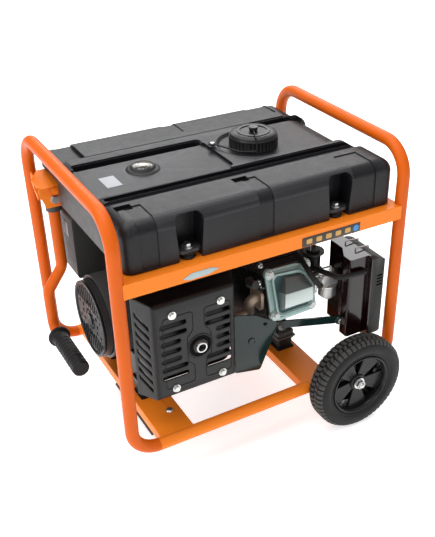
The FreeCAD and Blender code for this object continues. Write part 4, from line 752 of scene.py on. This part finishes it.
def alternator_cover():
    """Painted shade for the louvres and round holes, and the rim, of the alternator end cover."""
    # louvre slots and round holes are dark patches on the cover face: painted shade for the openings
    louvre_shade = Build()
    cxa, cya, cza = ALTERNATOR
    for i in range(-5, 6):
        for (lo, hi) in ((30, 74), (-74, -34)):
            yy = i * 12.5
            reach = math.sqrt(max(0.0, 78.0 ** 2 - yy ** 2))
            a, b = (lo, min(hi, reach)) if lo > 0 else (max(lo, -reach), hi)
            if b - a > 10:
                slot = rectangle(cya + yy, cza + (a + b) / 2, 3, (b - a) / 2)
                louvre_shade.prism(rounded_outline(slot, 2.9, 3), cxa - 0.5, cxa + 1, "x")
    for i in range(12):
        a = math.radians(30 * i + 10)
        yy, zz = cya + 22 * math.cos(a), cza + 22 * math.sin(a)
        louvre_shade.lathe([(0, -0.5), (3.4, -0.5), (3.4, 1), (0, 1)], (cxa, yy, zz), "x", n=12, closed=False)
    louvre_shade.make("alternator_louvre_shade", "painted_shade")
    rimm = Build()
    rimm.lathe([(84, 2), (88.4, -0.5), (88.4, -2.6), (84.5, -3.2), (81, -1.6), (81, 2)],
               ALTERNATOR, "x", n=72)
    rimm.lathe([(13, 1), (14.5, -3), (10, -4), (0, -4)], ALTERNATOR, "x", n=32, closed=False)
    rimm.make("alternator_cover_rim", "dark_cast")


rocker_cover()
lower_shroud_panel()
shield_details()
labels_and_plates()
fuel_gauge()
filler_cap_steps()
hoses_rods_and_ribs()
exhaust_and_leg()
stay_and_mounts()
alternator_cover()


# ----------------------------------------------------- studio, camera, lights
def area(name, place, aim, size, power):
    """White rectangular light that faces a point."""
    d = bpy.data.lights.new(name, "AREA")
    d.shape, d.size, d.size_y, d.energy = "RECTANGLE", size[0], size[1], power
    o = bpy.data.objects.new(name, d)
    bpy.context.scene.collection.objects.link(o)
    o.location = place
    o.rotation_mode = "QUATERNION"
    o.rotation_quaternion = (Vector(aim) - Vector(place)).to_track_quat("-Z", "Y")


area("top_softbox", (-0.4, 0.3, 2.8), (0, 0, 0.2), (2.8, 2.2), 58)
area("back_sheen", (1.5, 2.7, 2.3), (0, 0, 0.4), (3.0, 1.5), 48)
area("front_fill", (-1.2, -3.2, 2.2), (0, 0, 0.3), (0.9, 0.9), 13)
area("left_key", (-2.9, -0.3, 1.9), (0, 0, 0.4), (0.9, 1.3), 20)


def studio_world():
    """Sky that brightens upwards for light and reflections, seen as one pale tone behind the object."""
    world = bpy.data.worlds.new("studio")
    bpy.context.scene.world = world
    world.use_nodes = True
    nodes, link = world.node_tree.nodes, world.node_tree.links.new
    nodes.clear()
    out = nodes.new("ShaderNodeOutputWorld")
    sky = nodes.new("ShaderNodeBackground")
    coord = nodes.new("ShaderNodeTexCoord")
    split = nodes.new("ShaderNodeSeparateXYZ")
    ramp = nodes.new("ShaderNodeValToRGB")
    link(coord.outputs["Generated"], split.inputs[0])
    link(split.outputs["Z"], ramp.inputs["Fac"])
    horizon, zenith = ramp.color_ramp.elements[0], ramp.color_ramp.elements[1]
    horizon.position, horizon.color = 0.0, (0.10, 0.10, 0.10, 1)
    zenith.position, zenith.color = 0.75, (0.78, 0.78, 0.80, 1)
    link(ramp.outputs["Color"], sky.inputs["Color"])
    sky.inputs["Strength"].default_value = 1.0
    pale = nodes.new("ShaderNodeBackground")
    pale.inputs["Color"].default_value = (0.96, 0.96, 0.96, 1)
    path = nodes.new("ShaderNodeLightPath")
    pick = nodes.new("ShaderNodeMixShader")
    link(path.outputs["Is Camera Ray"], pick.inputs[0])
    link(sky.outputs[0], pick.inputs[1])
    link(pale.outputs[0], pick.inputs[2])
    link(pick.outputs[0], out.inputs[0])


def studio_floor():
    """Plain pale floor just under the wheels, partly lit from itself."""
    mesh = bpy.data.meshes.new("studio_floor")
    mesh.from_pydata([(-14, -14, 0), (14, -14, 0), (14, 14, 0), (-14, 14, 0)], [], [(0, 1, 2, 3)])
    floor = bpy.data.objects.new("studio_floor", mesh)
    bpy.context.scene.collection.objects.link(floor)
    finish = shader("studio_floor", (0.94, 0.94, 0.94), 0.9, mottle=0.0, spec=0.0)
    for n in finish.node_tree.nodes:
        if n.type == "BSDF_PRINCIPLED":
            n.inputs["Emission Color"].default_value = (1, 1, 1, 1)
            n.inputs["Emission Strength"].default_value = 0.55
    mesh.materials.append(finish)
    floor.location.z = CAD_BOX[0].z - 0.0005


studio_world()
studio_floor()

cd = bpy.data.cameras.new("camera")
cam = bpy.data.objects.new("camera", cd)
bpy.context.scene.collection.objects.link(cam)
bpy.context.scene.camera = cam
right = Vector((0.8594, -0.5113, 0.0))
up = Vector((0.2700, 0.4538, 0.8492))
back = Vector((-0.4342, -0.7298, 0.5281))
place = Vector((-0.7421, -1.4741, 1.2997))
cam.matrix_world = Matrix([(right[i], up[i], back[i], place[i]) for i in range(3)] + [(0, 0, 0, 1)])
cd.lens, cd.sensor_width, cd.sensor_fit = 55.12, 36.0, "AUTO"
cd.shift_x, cd.shift_y = -0.0776, 0.0411
cd.clip_start, cd.clip_end = 0.05, 60.0

bpy.context.scene.view_settings.view_transform = "Standard"
bpy.context.scene.view_settings.look = "None"

bpy.context.view_layer.update()
